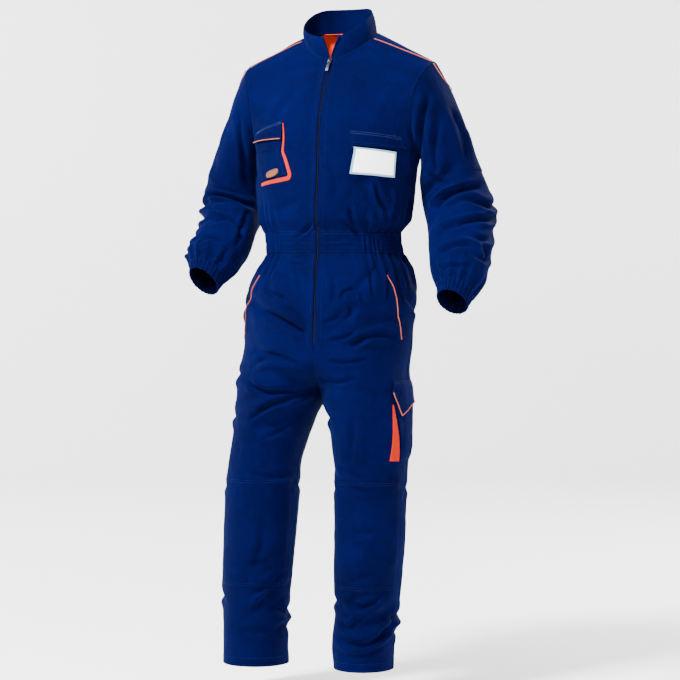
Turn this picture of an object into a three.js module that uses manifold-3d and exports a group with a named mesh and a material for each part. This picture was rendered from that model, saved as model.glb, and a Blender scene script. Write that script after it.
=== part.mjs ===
// Boiler suit, filled out as if worn: two fronts, back, shoulder yokes, set-in sleeves with
// gathered cuffs, stand collar, elasticated waistband, four trouser panels and the pockets,
// piping and zip that are sewn to them. Every cloth piece is a thin closed wall.
// Millimetres. +Z up, the front faces -Y, +X is the wearer's left.
// The origin is the middle of the neck seam, where the suit hangs on its wearer.
import * as THREE from "three";
import Module from "manifold-3d";

const wasm = await Module();
wasm.setup();
const { Manifold } = wasm;

// Driving dimensions
const WALL = 1.6;
const SEAM_GAP = 0.3;
const NECK_Z_FRONT = -66;
const NECK_Z_BACK = 10;
const COLLAR_FRONT = 51;
const COLLAR_BACK = 61;
const BAND_TOP = -488;
const BAND_BOTTOM = -540;
const ARMPIT_Z = -292;
const ZIP_BOTTOM = -762;
const FORK_Z = -870;
const HEM_Z = -1548;
const ZIP_HALF_GAP = 3.4;

// Where the gathers start round the waist, from the front middle, and how many there are
const GATHER_FROM = 50;
const FRONT_WAVES = 6;
const BACK_WAVES = 13;
const CUFF_WAVES = 14;

// Colours
const NAVY = { color: 0x0a1a5c, roughness: 0.85, metalness: 0 };
const NAVY_DARK = { color: 0x070f38, roughness: 0.85, metalness: 0 };
const ORANGE = { color: 0xe8502a, roughness: 0.8, metalness: 0 };
const METAL = { color: 0x9a9a98, roughness: 0.35, metalness: 0.9 };
const VINYL = { color: 0xb9cbe0, roughness: 0.3, metalness: 0 };
const CARD = { color: 0xf7f7f4, roughness: 0.7, metalness: 0 };
const TAN = { color: 0xc08a66, roughness: 0.7, metalness: 0 };

// Horizontal sections of the trunk: x of the front middle, the back middle and the two side
// seams, y of the side seams, and the depth forward and back of them
const TRUNK = [
  { z: 60, front_x: 0, back_x: 0, left: 90, right: -90, y: 8, front: 72, back: 70 },
  { z: 10, front_x: 0, back_x: 0, left: 110, right: -110, y: 8, front: 74, back: 76 },
  { z: -66, front_x: 0, back_x: 0, left: 180, right: -180, y: 4, front: 76, back: 102 },
  { z: -110, front_x: -2, back_x: 0, left: 200, right: -200, y: 0, front: 104, back: 116 },
  { z: -165, front_x: -4, back_x: -2, left: 208, right: -208, y: -4, front: 125, back: 123 },
  { z: -230, front_x: -5, back_x: -3, left: 208, right: -208, y: -8, front: 139, back: 124 },
  { z: -292, front_x: -6, back_x: -4, left: 206, right: -208, y: -10, front: 143, back: 121 },
  { z: -340, front_x: -6, back_x: -6, left: 196, right: -206, y: -11, front: 144, back: 119 },
  { z: -400, front_x: -9, back_x: -8, left: 187, right: -203, y: -12, front: 143, back: 116 },
  { z: -455, front_x: -13, back_x: -9, left: 180, right: -198, y: -12, front: 136, back: 111 },
  { z: -488, front_x: -14, back_x: -9, left: 156, right: -185, y: -12, front: 122, back: 101 },
  { z: -540, front_x: -14, back_x: -10, left: 163, right: -180, y: -12, front: 120, back: 100 },
  { z: -578, front_x: -14, back_x: -11, left: 186, right: -205, y: -12, front: 132, back: 116 },
  { z: -625, front_x: -13, back_x: -13, left: 197, right: -230, y: -13, front: 141, back: 130 },
  { z: -690, front_x: -13, back_x: -17, left: 192, right: -239, y: -14, front: 146, back: 136 },
  { z: -762, front_x: -13, back_x: -22, left: 187, right: -240, y: -17, front: 147, back: 135 },
  { z: -825, front_x: -18, back_x: -28, left: 179, right: -250, y: -20, front: 138, back: 128 },
  { z: -870, front_x: -34, back_x: -34, left: 184, right: -253, y: -22, front: 128, back: 121 },
];

// Sections of each leg below the fork
const LEG = {
  left: [
    { z: -870, x: 75, y: -22, side: 109, front: 128, back: 121 },
    { z: -943, x: 87, y: -29, side: 100, front: 112, back: 107 },
    { z: -1002, x: 92, y: -33, side: 97, front: 102, back: 98 },
    { z: -1061, x: 91, y: -36, side: 90, front: 95, back: 92 },
    { z: -1150, x: 91, y: -39, side: 87, front: 91, back: 88 },
    { z: -1239, x: 90, y: -40, side: 86, front: 89, back: 87 },
    { z: -1327, x: 85, y: -39, side: 83, front: 87, back: 85 },
    { z: -1416, x: 80, y: -36, side: 77, front: 84, back: 82 },
    { z: -1504, x: 71, y: -34, side: 76, front: 82, back: 80 },
    { z: -1548, x: 72, y: -34, side: 73, front: 80, back: 78 },
  ],
  right: [
    { z: -870, x: -143.5, y: -22, side: 109.5, front: 128, back: 121 },
    { z: -943, x: -159, y: -29, side: 100, front: 112, back: 107 },
    { z: -1002, x: -173, y: -33, side: 93, front: 102, back: 98 },
    { z: -1061, x: -184, y: -36, side: 90, front: 95, back: 92 },
    { z: -1150, x: -189, y: -39, side: 91, front: 92, back: 89 },
    { z: -1239, x: -195, y: -40, side: 90, front: 90, back: 87 },
    { z: -1327, x: -201, y: -39, side: 87, front: 88, back: 86 },
    { z: -1416, x: -207, y: -36, side: 82, front: 85, back: 83 },
    { z: -1504, x: -209, y: -34, side: 81, front: 83, back: 81 },
    { z: -1548, x: -208, y: -34, side: 82, front: 82, back: 80 },
  ],
};

// Sections of each sleeve from armhole to cuff: the outer and inner side points, the middle's y,
// the depth forward and back, the pitch that the bent arm gives, and how hollow the section is.
// x is measured outwards, so the right sleeve mirrors it.
const SLEEVE = {
  left: [
    { at: 0, outX: 243, outZ: -78, inX: 208, inZ: -292, y: 5, front: 88, back: 88, pitch: 0, hollow: 20 },
    { at: 1, outX: 272, outZ: -132, inX: 211, inZ: -315, y: 8, front: 84, back: 86, pitch: 0, hollow: 7 },
    { at: 2, outX: 306, outZ: -214, inX: 208, inZ: -338, y: 14, front: 78, back: 82, pitch: 0, hollow: 0 },
    { at: 3, outX: 336, outZ: -305, inX: 202, inZ: -368, y: 20, front: 75, back: 80, pitch: 3, hollow: 0 },
    { at: 4, outX: 367, outZ: -378, inX: 203, inZ: -402, y: 24, front: 76, back: 80, pitch: 10, hollow: 0 },
    { at: 5, outX: 384, outZ: -425, inX: 210, inZ: -436, y: 18, front: 74, back: 78, pitch: 22, hollow: 0 },
    { at: 6, outX: 390, outZ: -475, inX: 226, inZ: -476, y: -14, front: 70, back: 72, pitch: 34, hollow: 0 },
    { at: 7, outX: 397, outZ: -532, inX: 243, inZ: -526, y: -60, front: 67, back: 66, pitch: 38, hollow: 0 },
    { at: 8, outX: 396, outZ: -590, inX: 262, inZ: -578, y: -107, front: 60, back: 58, pitch: 42, hollow: 0 },
    { at: 9, outX: 376, outZ: -634, inX: 288, inZ: -622, y: -146, front: 43, back: 42, pitch: 46, hollow: 0 },
    { at: 10, outX: 367, outZ: -662, inX: 295, inZ: -650, y: -172, front: 38, back: 38, pitch: 48, hollow: 0 },
  ],
  right: [
    { at: 0, outX: 240, outZ: -78, inX: 208, inZ: -292, y: 5, front: 88, back: 88, pitch: 0, hollow: 20 },
    { at: 1, outX: 268, outZ: -132, inX: 214, inZ: -315, y: 10, front: 83, back: 86, pitch: 0, hollow: 7 },
    { at: 2, outX: 300, outZ: -214, inX: 216, inZ: -338, y: 18, front: 77, back: 82, pitch: 0, hollow: 0 },
    { at: 3, outX: 338, outZ: -305, inX: 216, inZ: -368, y: 26, front: 75, back: 80, pitch: 4, hollow: 0 },
    { at: 4, outX: 366, outZ: -374, inX: 216, inZ: -402, y: 30, front: 76, back: 80, pitch: 12, hollow: 0 },
    { at: 5, outX: 366, outZ: -418, inX: 216, inZ: -436, y: 20, front: 74, back: 78, pitch: 26, hollow: 0 },
    { at: 6, outX: 354, outZ: -460, inX: 216, inZ: -474, y: -18, front: 70, back: 72, pitch: 40, hollow: 0 },
    { at: 7, outX: 353, outZ: -502, inX: 215, inZ: -514, y: -60, front: 67, back: 66, pitch: 47, hollow: 0 },
    { at: 8, outX: 361, outZ: -544, inX: 226, inZ: -558, y: -104, front: 61, back: 58, pitch: 50, hollow: 0 },
    { at: 9, outX: 340, outZ: -572, inX: 250, inZ: -594, y: -140, front: 43, back: 42, pitch: 52, hollow: 0 },
    { at: 10, outX: 331, outZ: -594, inX: 259, inZ: -618, y: -165, front: 38, back: 38, pitch: 54, hollow: 0 },
  ],
};
const CUFF_START = 9;
const CUFF_END = 10;

// Zip slider and pull tab, in millimetres
const SLIDER_Z = -76;
const SLIDER = { wide: 9, deep: 3, high: 13, gap: 0.5, arch: 2.4, rise: 5.6 };
const TAB = { pivotZ: -1.6, pin: 0.8, inner: 3.4, arm: 1.2, thick: 1.4, reach: 9.5, wide: 7, long: 22 };
const TAPE_SHARE = 0.032;
const TAPE_GAP = 0.7;
const PIPING_WALL = 1.4;

// The part of each front trouser panel that the knee patch covers, and the neck facing
const KNEE = { low: -1350.1, high: -1088.9, from: 1 / 9, to: 8 / 9 };
const FACING = { low: -60, high: 200, from: 0, to: 0.375 };
const FACING_TRIM = 6;

// Pieces laid on panels. Each outline line runs from (s0, v0) to (s1, v1), where s is the share
// across the panel and v the height, or the place along a sleeve. l0 and l1 are how far the
// piece's outer face is above the panel at the two ends.
const LAID = [
  {
    name: "chest_flap_right", panel: "bodice_front_right", finish: NAVY,
    outline: [
      { s0: 0.372, v0: -264, s1: 0.904, v1: -259, l0: 5.4, l1: 6.6, steps: 3 },
      { s0: 0.41, v0: -230, s1: 0.88, v1: -238, l0: 4.6, l1: 5.8, steps: 1 },
      { s0: 0.425, v0: -215, s1: 0.872, v1: -226, l0: 2.4, l1: 2.4 },
    ],
  },
  {
    name: "chest_pocket_right", panel: "bodice_front_right", finish: NAVY,
    outline: [
      { s0: 0.278, v0: -350, s1: 0.6, v1: -361, l0: 3, l1: 3.4, steps: 8 },
      { s0: 0.396, v0: -246, s1: 0.885, v1: -243, l0: 2.6, l1: 3.2 },
    ],
  },
  {
    name: "chest_label_right", panel: "bodice_front_right", finish: TAN, wall: 1,
    outline: [
      { s0: 0.36, v0: -350.5, s1: 0.485, v1: -356, l0: 4.6, l1: 4.6, steps: 1 },
      { s0: 0.32, v0: -345, s1: 0.525, v1: -354.5, l0: 4.6, l1: 4.6, steps: 1 },
      { s0: 0.32, v0: -339, s1: 0.525, v1: -347.5, l0: 4.6, l1: 4.6, steps: 1 },
      { s0: 0.36, v0: -335, s1: 0.485, v1: -340.5, l0: 4.6, l1: 4.6 },
    ],
  },
  {
    name: "chest_flap_left", panel: "bodice_front_left", finish: NAVY,
    outline: [
      { s0: 0.262, v0: -283, s1: 0.745, v1: -289, l0: 3, l1: 4.2, steps: 3 },
      { s0: 0.282, v0: -246, s1: 0.8, v1: -254, l0: 2.4, l1: 2.6 },
    ],
  },
  {
    name: "badge_holder", panel: "bodice_front_left", finish: VINYL, wall: 1,
    outline: [
      { s0: 0.2503, v0: -351, s1: 0.659, v1: -358.7, l0: 2, l1: 2, steps: 5 },
      { s0: 0.2653, v0: -286.5, s1: 0.6266, v1: -298.2, l0: 2, l1: 2 },
    ],
  },
  {
    name: "badge_card", panel: "bodice_front_left", finish: CARD, wall: 0.8,
    outline: [
      { s0: 0.27, v0: -346.5, s1: 0.64, v1: -353.5, l0: 3.6, l1: 3.6, steps: 5 },
      { s0: 0.282, v0: -291.5, s1: 0.609, v1: -303, l0: 3.6, l1: 3.6 },
    ],
  },
  {
    name: "pen_pocket", panel: "sleeve_left", finish: NAVY,
    outline: [
      { s0: 0.424, v0: 2.3, s1: 0.545, v1: 2.3, l0: 2.6, l1: 2.6, steps: 8 },
      { s0: 0.424, v0: 3.42, s1: 0.545, v1: 3.42, l0: 2.6, l1: 2.6 },
    ],
  },
  {
    name: "cargo_gusset", panel: "leg_left", finish: ORANGE, wall: 1.4,
    outline: [
      { s0: 0.7526, v0: -1037, s1: 0.8523, v1: -1038, l0: 2.4, l1: 2.4, steps: 9 },
      { s0: 0.79, v0: -903, s1: 0.806, v1: -903, l0: 2.4, l1: 2.4 },
    ],
  },
  {
    name: "cargo_pocket", panel: "leg_left", finish: NAVY,
    outline: [
      { s0: 0.86, v0: -1038, s1: 1.36, v1: -1034, l0: 4, l1: 4, steps: 8 },
      { s0: 0.818, v0: -892, s1: 1.36, v1: -892, l0: 2.4, l1: 2.8 },
    ],
  },
  {
    name: "cargo_flap", panel: "leg_left", finish: NAVY, upright: true,
    outline: [
      { s0: 0.79, v0: -876, s1: 0.778, v1: -846, l0: 6, l1: 3, steps: 2 },
      { s0: 0.856, v0: -934, s1: 0.85, v1: -846, l0: 6.6, l1: 3, steps: 1 },
      { s0: 0.889, v0: -928, s1: 0.889, v1: -846, l0: 6.6, l1: 3, steps: 2 },
      { s0: 1, v0: -908, s1: 1, v1: -846, l0: 6.2, l1: 3, steps: 2 },
      { s0: 1.125, v0: -900, s1: 1.125, v1: -846, l0: 6, l1: 3, steps: 2 },
      { s0: 1.25, v0: -892, s1: 1.25, v1: -846, l0: 6, l1: 3, steps: 2 },
      { s0: 1.375, v0: -885, s1: 1.375, v1: -846, l0: 6, l1: 3 },
    ],
  },
];

// Narrow strips on panels: w is the strip's width
const SLANT = [
  { s: 0.59, v: -592, w: 4, steps: 6 },
  { s: 0.6955, v: -668, w: 4, steps: 6 },
  { s: 0.7854, v: -747, w: 4 },
];
const SHOULDER = [{ s: 0.04, v: 0.035, w: 4, steps: 12 }, { s: 0.96, v: 0.035, w: 4 }];
const CAP = [
  { s: 0.459, v: 0.09, w: 4, steps: 3 },
  { s: 0.464, v: 0.5, w: 4, steps: 2 },
  { s: 0.48, v: 0.85, w: 4, steps: 2 },
  { s: 0.52, v: 1.08, w: 4, steps: 2 },
  { s: 0.575, v: 1.05, w: 4, steps: 2 },
  { s: 0.62, v: 0.75, w: 4, steps: 2 },
  { s: 0.645, v: 0.4, w: 4, steps: 2 },
  { s: 0.65, v: 0.12, w: 4 },
];
const STRIPS = [
  {
    name: "chest_gusset_right", panel: "bodice_front_right", lift: 2.2,
    line: [
      { s: 0.404, v: -222, w: 6, steps: 8 },
      { s: 0.238, v: -349, w: 14, steps: 1 },
      { s: 0.246, v: -357, w: 17, steps: 1 },
      { s: 0.266, v: -360, w: 14, steps: 6 },
      { s: 0.606, v: -371, w: 12 },
    ],
  },
  {
    name: "chest_piping_right", panel: "bodice_front_right", lift: 8,
    line: [{ s: 0.38, v: -261.5, w: 4, steps: 10 }, { s: 0.898, v: -256.5, w: 4 }],
  },
  { name: "slant_piping_left", panel: "trouser_front_left", lift: 2.4, line: SLANT },
  { name: "slant_piping_right", panel: "trouser_front_right", lift: 2.4, line: SLANT },
  { name: "shoulder_piping_left", panel: "yoke_left", lift: 2.2, line: SHOULDER },
  { name: "shoulder_piping_right", panel: "yoke_right", lift: 2.2, line: SHOULDER },
  { name: "cap_piping_left", panel: "sleeve_left", lift: 2.4, line: CAP },
  { name: "cap_piping_right", panel: "sleeve_right", lift: 2.4, line: CAP },
  {
    name: "cargo_piping", panel: "leg_left", lift: 8.4,
    line: [
      { s: 0.792, v: -874, w: 4, steps: 4 },
      { s: 0.857, v: -930, w: 4, steps: 5 },
      { s: 1, v: -905, w: 4, steps: 9 },
      { s: 1.375, v: -883, w: 4 },
    ],
  },
];

// The neck seam, and where the yoke seams meet it and the armhole, in degrees
const NECK = { x: 0, y: 8, side: 90, front: 80, back: 76, curve: 2.6 };
const YOKE = { neckFront: 70, neckBack: 128, armFront: 165, armBack: 235 };
const YOKE_CROWN = 1;
const COLLAR_SWELL = 2;
const COLLAR_OPEN = 19;
const COLLAR_WALL = 2.4;
// The rim leans: it dips beside the neck, most on the right, and stands over to the right
const COLLAR_LEAN = {
  left: { dip: 8, shift: -12 },
  right: { dip: 22, shift: -2 },
};
const COLLAR_FLANK = 0.84;
const CUFF_BLOUSE = 2.6;
const GATHER_HIGH = 2.2;

// Where the crotch seams leave the middle line, and how they curve
const FRONT_RISE = -765;
const BACK_RISE = -700;
const RISE_CURVE = 1.8;

// Radii that turn fold angles into millimetres, and the length of one sleeve step
const TRUNK_RADIUS = 150;
const LEG_RADIUS = 95;
const SLEEVE_RADIUS = 75;
const SLEEVE_STEP = 55;

// Heights, armhole angles and sleeve places of the rows of each panel
const BODICE_FINE_Z = [BAND_TOP, BAND_TOP + 18, BAND_TOP + 42];
const BODICE_Z = [-416, -384, -352, -322];
const ARM_ROWS = {
  front: [0, 20, 38, 54, 70, 86, 102, 118, 130, 142, 154, 165],
  back: [0, 20, 38, 54, 70, 84, 96, 106, 116, 125],
};
const TROUSER_FINE_Z = [BAND_BOTTOM - 46, BAND_BOTTOM - 20, BAND_BOTTOM];
const TROUSER_Z = [
  HEM_Z, -1500, -1450, -1400, -1350, -1300, -1250, -1195, -1142, -1089, -1030, -975, -930, -898,
  FORK_Z, -852, -830, -803, -772, -740, -705, -665, -625,
];
const SLEEVE_AT = [0, 0.5, 1.1, 1.8, 2.5, 3.1, 3.6, 4.1, 4.6, 5.1, 5.7, 6.4, 7.1, 7.8];
const SLEEVE_FINE_AT = [8.3, 8.65, 9];
const ANGLED_SEAM = 0.7;

// The large folds, as soft troughs (deep below 0) and ridges, between two places on a panel.
// For the trunk and legs a place is an angle from the front middle of the ring and a height.
const FOLDS = {
  trunk_left: [
    { a0: 28, z0: -345, a1: 52, z1: -448, wide: 15, deep: -7 },
    { a0: 40, z0: -300, a1: 62, z1: -420, wide: 15, deep: -8 },
    { a0: 50, z0: -560, a1: 24, z1: -640, wide: 11, deep: -6 },
    { a0: 30, z0: -628, a1: 48, z1: -672, wide: 11, deep: -6 },
    { a0: 34, z0: -655, a1: 8, z1: -735, wide: 14, deep: -6 },
    { a0: 66, z0: -688, a1: 30, z1: -722, wide: 12, deep: -6 },
  ],
  trunk_right: [
    { a0: 14, z0: -415, a1: 34, z1: -438, wide: 13, deep: -5 },
    { a0: 50, z0: -565, a1: 28, z1: -660, wide: 11, deep: -5 },
    { a0: 62, z0: -640, a1: 10, z1: -735, wide: 14, deep: -9 },
    { a0: 44, z0: -560, a1: 16, z1: -600, wide: 9, deep: -4 },
  ],
  leg_front_left: [
    { a0: 40, z0: -745, a1: -20, z1: -775, wide: 14, deep: -6 },
    { a0: 30, z0: -1150, a1: -50, z1: -1090, wide: 20, deep: -5 },
    { a0: -60, z0: -1345, a1: 30, z1: -1312, wide: 15, deep: -6 },
    { a0: -50, z0: -1398, a1: 60, z1: -1340, wide: 16, deep: -7 },
    { a0: -10, z0: -1450, a1: 80, z1: -1385, wide: 14, deep: -6 },
  ],
  leg_front_right: [
    { a0: 60, z0: -772, a1: -30, z1: -790, wide: 14, deep: -7 },
    { a0: 70, z0: -808, a1: -40, z1: -848, wide: 14, deep: -8 },
    { a0: 50, z0: -905, a1: -50, z1: -862, wide: 15, deep: -8 },
    { a0: 20, z0: -985, a1: -70, z1: -905, wide: 18, deep: -7 },
    { a0: 10, z0: -1330, a1: -70, z1: -1290, wide: 18, deep: -5 },
    { a0: 20, z0: -1450, a1: -70, z1: -1370, wide: 18, deep: -5 },
  ],
  leg_back_left: [
    { a0: 60, z0: -905, a1: -20, z1: -880, wide: 16, deep: -7 },
    { a0: 40, z0: -1130, a1: -60, z1: -1090, wide: 18, deep: -6 },
    { a0: -40, z0: -1175, a1: 50, z1: -1150, wide: 18, deep: -6 },
  ],
  leg_back_right: [
    { a0: 60, z0: -910, a1: -20, z1: -885, wide: 16, deep: -7 },
    { a0: 40, z0: -1120, a1: -60, z1: -1090, wide: 18, deep: -6 },
    { a0: -40, z0: -1170, a1: 50, z1: -1145, wide: 18, deep: -6 },
  ],
  back: [
    { a0: 20, z0: -250, a1: 70, z1: -330, wide: 20, deep: -6 },
    { a0: -20, z0: -260, a1: -70, z1: -340, wide: 20, deep: -6 },
    { a0: 15, z0: -370, a1: 45, z1: -440, wide: 16, deep: -7 },
    { a0: -15, z0: -380, a1: -50, z1: -440, wide: 16, deep: -7 },
    { a0: 30, z0: -600, a1: 8, z1: -700, wide: 16, deep: -6 },
    { a0: -30, z0: -600, a1: -8, z1: -710, wide: 16, deep: -6 },
  ],
};
// Folds of the sleeves: angle round the sleeve and place along it
const SLEEVE_FOLDS = {
  left: [
    { a0: 130, t0: 3.0, a1: 20, t1: 4.3, wide: 15, deep: -10 },
    { a0: 160, t0: 3.9, a1: 60, t1: 5.0, wide: 13, deep: -8 },
    { a0: 110, t0: 5.4, a1: 20, t1: 6.4, wide: 14, deep: -8 },
    { a0: 130, t0: 6.6, a1: 40, t1: 7.6, wide: 13, deep: -6 },
    { a0: 80, t0: 0.6, a1: 60, t1: 2.8, wide: 15, deep: -8 },
    { a0: 230, t0: 4.0, a1: 320, t1: 4.6, wide: 15, deep: -6 },
    { a0: 250, t0: 1.0, a1: 300, t1: 3.0, wide: 16, deep: -6 },
  ],
  right: [
    { a0: 175, t0: 3.7, a1: 40, t1: 4.4, wide: 13, deep: -9 },
    { a0: 60, t0: 1.6, a1: 40, t1: 3.6, wide: 14, deep: -7 },
    { a0: 150, t0: 5.6, a1: 40, t1: 5.4, wide: 12, deep: -8 },
    { a0: 160, t0: 6.8, a1: 50, t1: 6.6, wide: 12, deep: -7 },
    { a0: 150, t0: 7.8, a1: 60, t1: 7.8, wide: 10, deep: -6 },
    { a0: 230, t0: 4.0, a1: 320, t1: 4.6, wide: 15, deep: -6 },
    { a0: 250, t0: 1.0, a1: 300, t1: 3.0, wide: 16, deep: -6 },
  ],
};

const radians = (degrees) => (degrees * Math.PI) / 180;
const lerp = (a, b, f) => a + (b - a) * f;
const clamp = (v, low, high) => Math.min(high, Math.max(low, v));
const smooth = (v) => v * v * (3 - 2 * v);
const ramp = (v, from, to) => smooth(clamp((v - from) / (to - from), 0, 1));
const range = (count) => Array.from({ length: count + 1 }, (_, i) => i / count);
const point = (x, y, z) => new THREE.Vector3(x, y, z);

// A smooth reading of a table of sections: cubic between rows, with slopes that never overshoot
function reader(rows, key) {
  const sorted = [...rows].sort((a, b) => a[key] - b[key]);
  const knots = sorted.map((row) => row[key]);
  const slopeAt = (name, i) => {
    if (i === 0 || i === sorted.length - 1) return 0;
    const before = (sorted[i][name] - sorted[i - 1][name]) / (knots[i] - knots[i - 1]);
    const after = (sorted[i + 1][name] - sorted[i][name]) / (knots[i + 1] - knots[i]);
    return before * after <= 0 ? 0 : (2 * before * after) / (before + after);
  };
  return (at) => {
    const v = clamp(at, knots[0], knots[knots.length - 1]);
    let i = 0;
    while (i < knots.length - 2 && v > knots[i + 1]) i += 1;
    const h = knots[i + 1] - knots[i];
    const f = (v - knots[i]) / h;
    const read = {};
    for (const name of Object.keys(sorted[0])) {
      const a = sorted[i][name];
      const b = sorted[i + 1][name];
      const ma = slopeAt(name, i) * h;
      const mb = slopeAt(name, i + 1) * h;
      const start = a * (1 + 2 * f) * (1 - f) ** 2 + ma * f * (1 - f) ** 2;
      read[name] = start + b * f * f * (3 - 2 * f) + mb * f * f * (f - 1);
    }
    return read;
  };
}
const trunkAt = reader(TRUNK, "z");
const legAt = { left: reader(LEG.left, "z"), right: reader(LEG.right, "z") };
const sleeveAt = { left: reader(SLEEVE.left, "at"), right: reader(SLEEVE.right, "at") };
const SIGN = { left: 1, right: -1 };
const SIDES = ["left", "right"];

// The neck seam, by angle from the front middle
function neckPoint(side, degrees) {
  const a = radians(degrees);
  const depth = Math.cos(a) > 0 ? NECK.front : NECK.back;
  const low = Math.pow((1 + Math.cos(a)) / 2, NECK.curve);
  return point(
    NECK.x * Math.cos(a) + SIGN[side] * NECK.side * Math.sin(a),
    NECK.y - depth * Math.cos(a),
    lerp(NECK_Z_BACK, NECK_Z_FRONT, low),
  );
}

// A sleeve section: 0 degrees at the armpit, 90 in front, 180 on the shoulder, 270 behind
function sleevePoint(side, at, degrees) {
  const row = sleeveAt[side](at);
  const a = radians(degrees);
  const middle = point((row.outX + row.inX) / 2, row.y, (row.outZ + row.inZ) / 2);
  const up = point((row.outX - row.inX) / 2, 0, (row.outZ - row.inZ) / 2);
  const p = radians(row.pitch);
  const fore = point(0, -Math.cos(p), Math.sin(p));
  const depth = Math.sin(a) > 0 ? row.front : row.back;
  const made = middle.addScaledVector(up, -Math.cos(a)).addScaledVector(fore, depth * Math.sin(a));
  made.x -= row.hollow * Math.sin(a) ** 2;
  made.x *= SIGN[side];
  return made;
}

// A row of cloth from a middle point to a side point, as a part of an ellipse
function arcRow(from, to, sweep, share) {
  const a = radians(sweep);
  const across = Math.sin(share * a) / Math.sin(a);
  const deep = (1 - Math.cos(share * a)) / (1 - Math.cos(a));
  return point(lerp(from.x, to.x, across), lerp(from.y, to.y, deep), lerp(from.z, to.z, deep));
}

// The gathers that the elastic makes, as a zigzag between the fine columns
function gather(z, wave) {
  if (!wave) return 0;
  const above = ramp(z, BAND_TOP + 62, BAND_TOP + 8);
  const below = ramp(z, BAND_BOTTOM - 66, BAND_BOTTOM - 8);
  const over = 1.2 * Math.exp(-(((z - BAND_TOP - 20) / 16) ** 2));
  const under = Math.exp(-(((z - BAND_BOTTOM + 20) / 16) ** 2));
  const high = GATHER_HIGH * (1 + 0.8 * (over + under));
  return high * above * below * ramp(wave.share, 0, 0.25) * Math.cos(Math.PI * wave.at);
}

// How far the folds move a place, in millimetres: place turns a fold's end into (u, v)
function foldDepth(folds, u, v, place) {
  let sum = 0;
  for (const fold of folds) {
    const [u0, v0] = place(fold, 0);
    const [u1, v1] = place(fold, 1);
    const length = Math.hypot(u1 - u0, v1 - v0);
    const along = ((u - u0) * (u1 - u0) + (v - v0) * (v1 - v0)) / length ** 2;
    const away = ((u - u0) * (v1 - v0) - (v - v0) * (u1 - u0)) / length;
    const taper = ramp(along, -0.12, 0.25) * ramp(along, 1.12, 0.75);
    sum += fold.deep * taper * Math.exp(-((away / fold.wide) ** 2));
  }
  return sum;
}
const ringPlace = (radius) => (fold, end) => [radians(fold[`a${end}`]) * radius, fold[`z${end}`]];
const sleevePlace = (fold, end) => [radians(fold[`a${end}`]) * SLEEVE_RADIUS, fold[`t${end}`] * SLEEVE_STEP];
const trunkFold = (folds, degrees, z) =>
  foldDepth(folds, radians(degrees) * TRUNK_RADIUS, z, ringPlace(TRUNK_RADIUS));
const legFold = (folds, degrees, z) =>
  foldDepth(folds, radians(degrees) * LEG_RADIUS, z, ringPlace(LEG_RADIUS));
const sleeveFold = (side, degrees, at) =>
  foldDepth(SLEEVE_FOLDS[side], radians(degrees) * SLEEVE_RADIUS, at * SLEEVE_STEP, sleevePlace);

// Moves a point of a ring outwards from an upright axis
function pushOut(p, centreX, centreY, by) {
  return p.addScaledVector(point(p.x - centreX, p.y - centreY, 0).normalize(), by);
}

// Half of the front or back above the waistband. A row at or below the armpit is a height; above
// it a row is an angle on the armhole, and starts on the middle line and then on the neck seam.
// The cloth slumps between the neck and the armhole, so the shoulder line is nearly straight.
const HALF = {
  front: {
    facing: -1, depth: "front", x: "front_x", flat: 40, slump: 16,
    corner: 118, end: YOKE.armFront, neckEnd: YOKE.neckFront,
  },
  back: {
    facing: 1, depth: "back", x: "back_x", flat: 45, slump: 30,
    corner: 96, end: 360 - YOKE.armBack, neckEnd: YOKE.neckBack,
  },
};
const armRise = (half, arm) => (1 - Math.cos(radians(arm))) / (1 - Math.cos(radians(half.corner)));
const neckTop = { front: NECK_Z_FRONT, back: NECK_Z_BACK };
const rowHeight = (part, row) =>
  row.z !== undefined ? row.z : lerp(ARMPIT_Z, neckTop[part], armRise(HALF[part], row.arm));
function bodicePoint(part, side, row, share, wave = null) {
  const half = HALF[part];
  const folds = part === "front" ? FOLDS[`trunk_${side}`] : FOLDS.back;
  const degrees = part === "front" ? 90 * share : SIGN[side] * 90 * share;
  const z = rowHeight(part, row);
  const t = trunkAt(z);
  const middle = point(t[half.x], t.y + half.facing * t[half.depth], z);
  if (row.z !== undefined) {
    const p = arcRow(middle, point(t[side], t.y, z), 90, share);
    return pushOut(p, t[half.x], t.y, trunkFold(folds, degrees, z) + gather(z, wave));
  }
  const arm = sleevePoint(side, 0, part === "front" ? row.arm : 360 - row.arm);
  const neckShare = (row.arm - half.corner) / (half.end - half.corner);
  const neckStart = part === "front" ? 0 : 180;
  const from = neckShare <= 0 ? middle : neckPoint(side, lerp(neckStart, half.neckEnd, neckShare));
  const p = arcRow(from, arm, lerp(90, half.flat, ramp(row.arm, 0, 110)), share);
  p.z -= half.slump * Math.sin(Math.PI * share) * ramp(row.arm, half.corner - 45, half.end);
  return pushOut(p, t[half.x], t.y, trunkFold(folds, degrees, z) * ramp(share, 1, 0.75));
}

// The shoulder yoke, between the top edges of the front and back, the neck seam and the armhole
function yokePoint(side, over, share) {
  const frontEdge = (s) => bodicePoint("front", side, { arm: YOKE.armFront }, s);
  const backEdge = (s) => bodicePoint("back", side, { arm: 360 - YOKE.armBack }, s);
  const neck = neckPoint(side, lerp(YOKE.neckFront, YOKE.neckBack, over));
  const arm = sleevePoint(side, 0, lerp(YOKE.armFront, YOKE.armBack, over));
  const p = frontEdge(share).lerp(backEdge(share), over);
  p.addScaledVector(neck.sub(frontEdge(0).lerp(backEdge(0), over)), 1 - share);
  p.addScaledVector(arm.sub(frontEdge(1).lerp(backEdge(1), over)), share);
  p.z += YOKE_CROWN * Math.sin(Math.PI * over) * Math.sin(Math.PI * share);
  return p;
}

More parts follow.
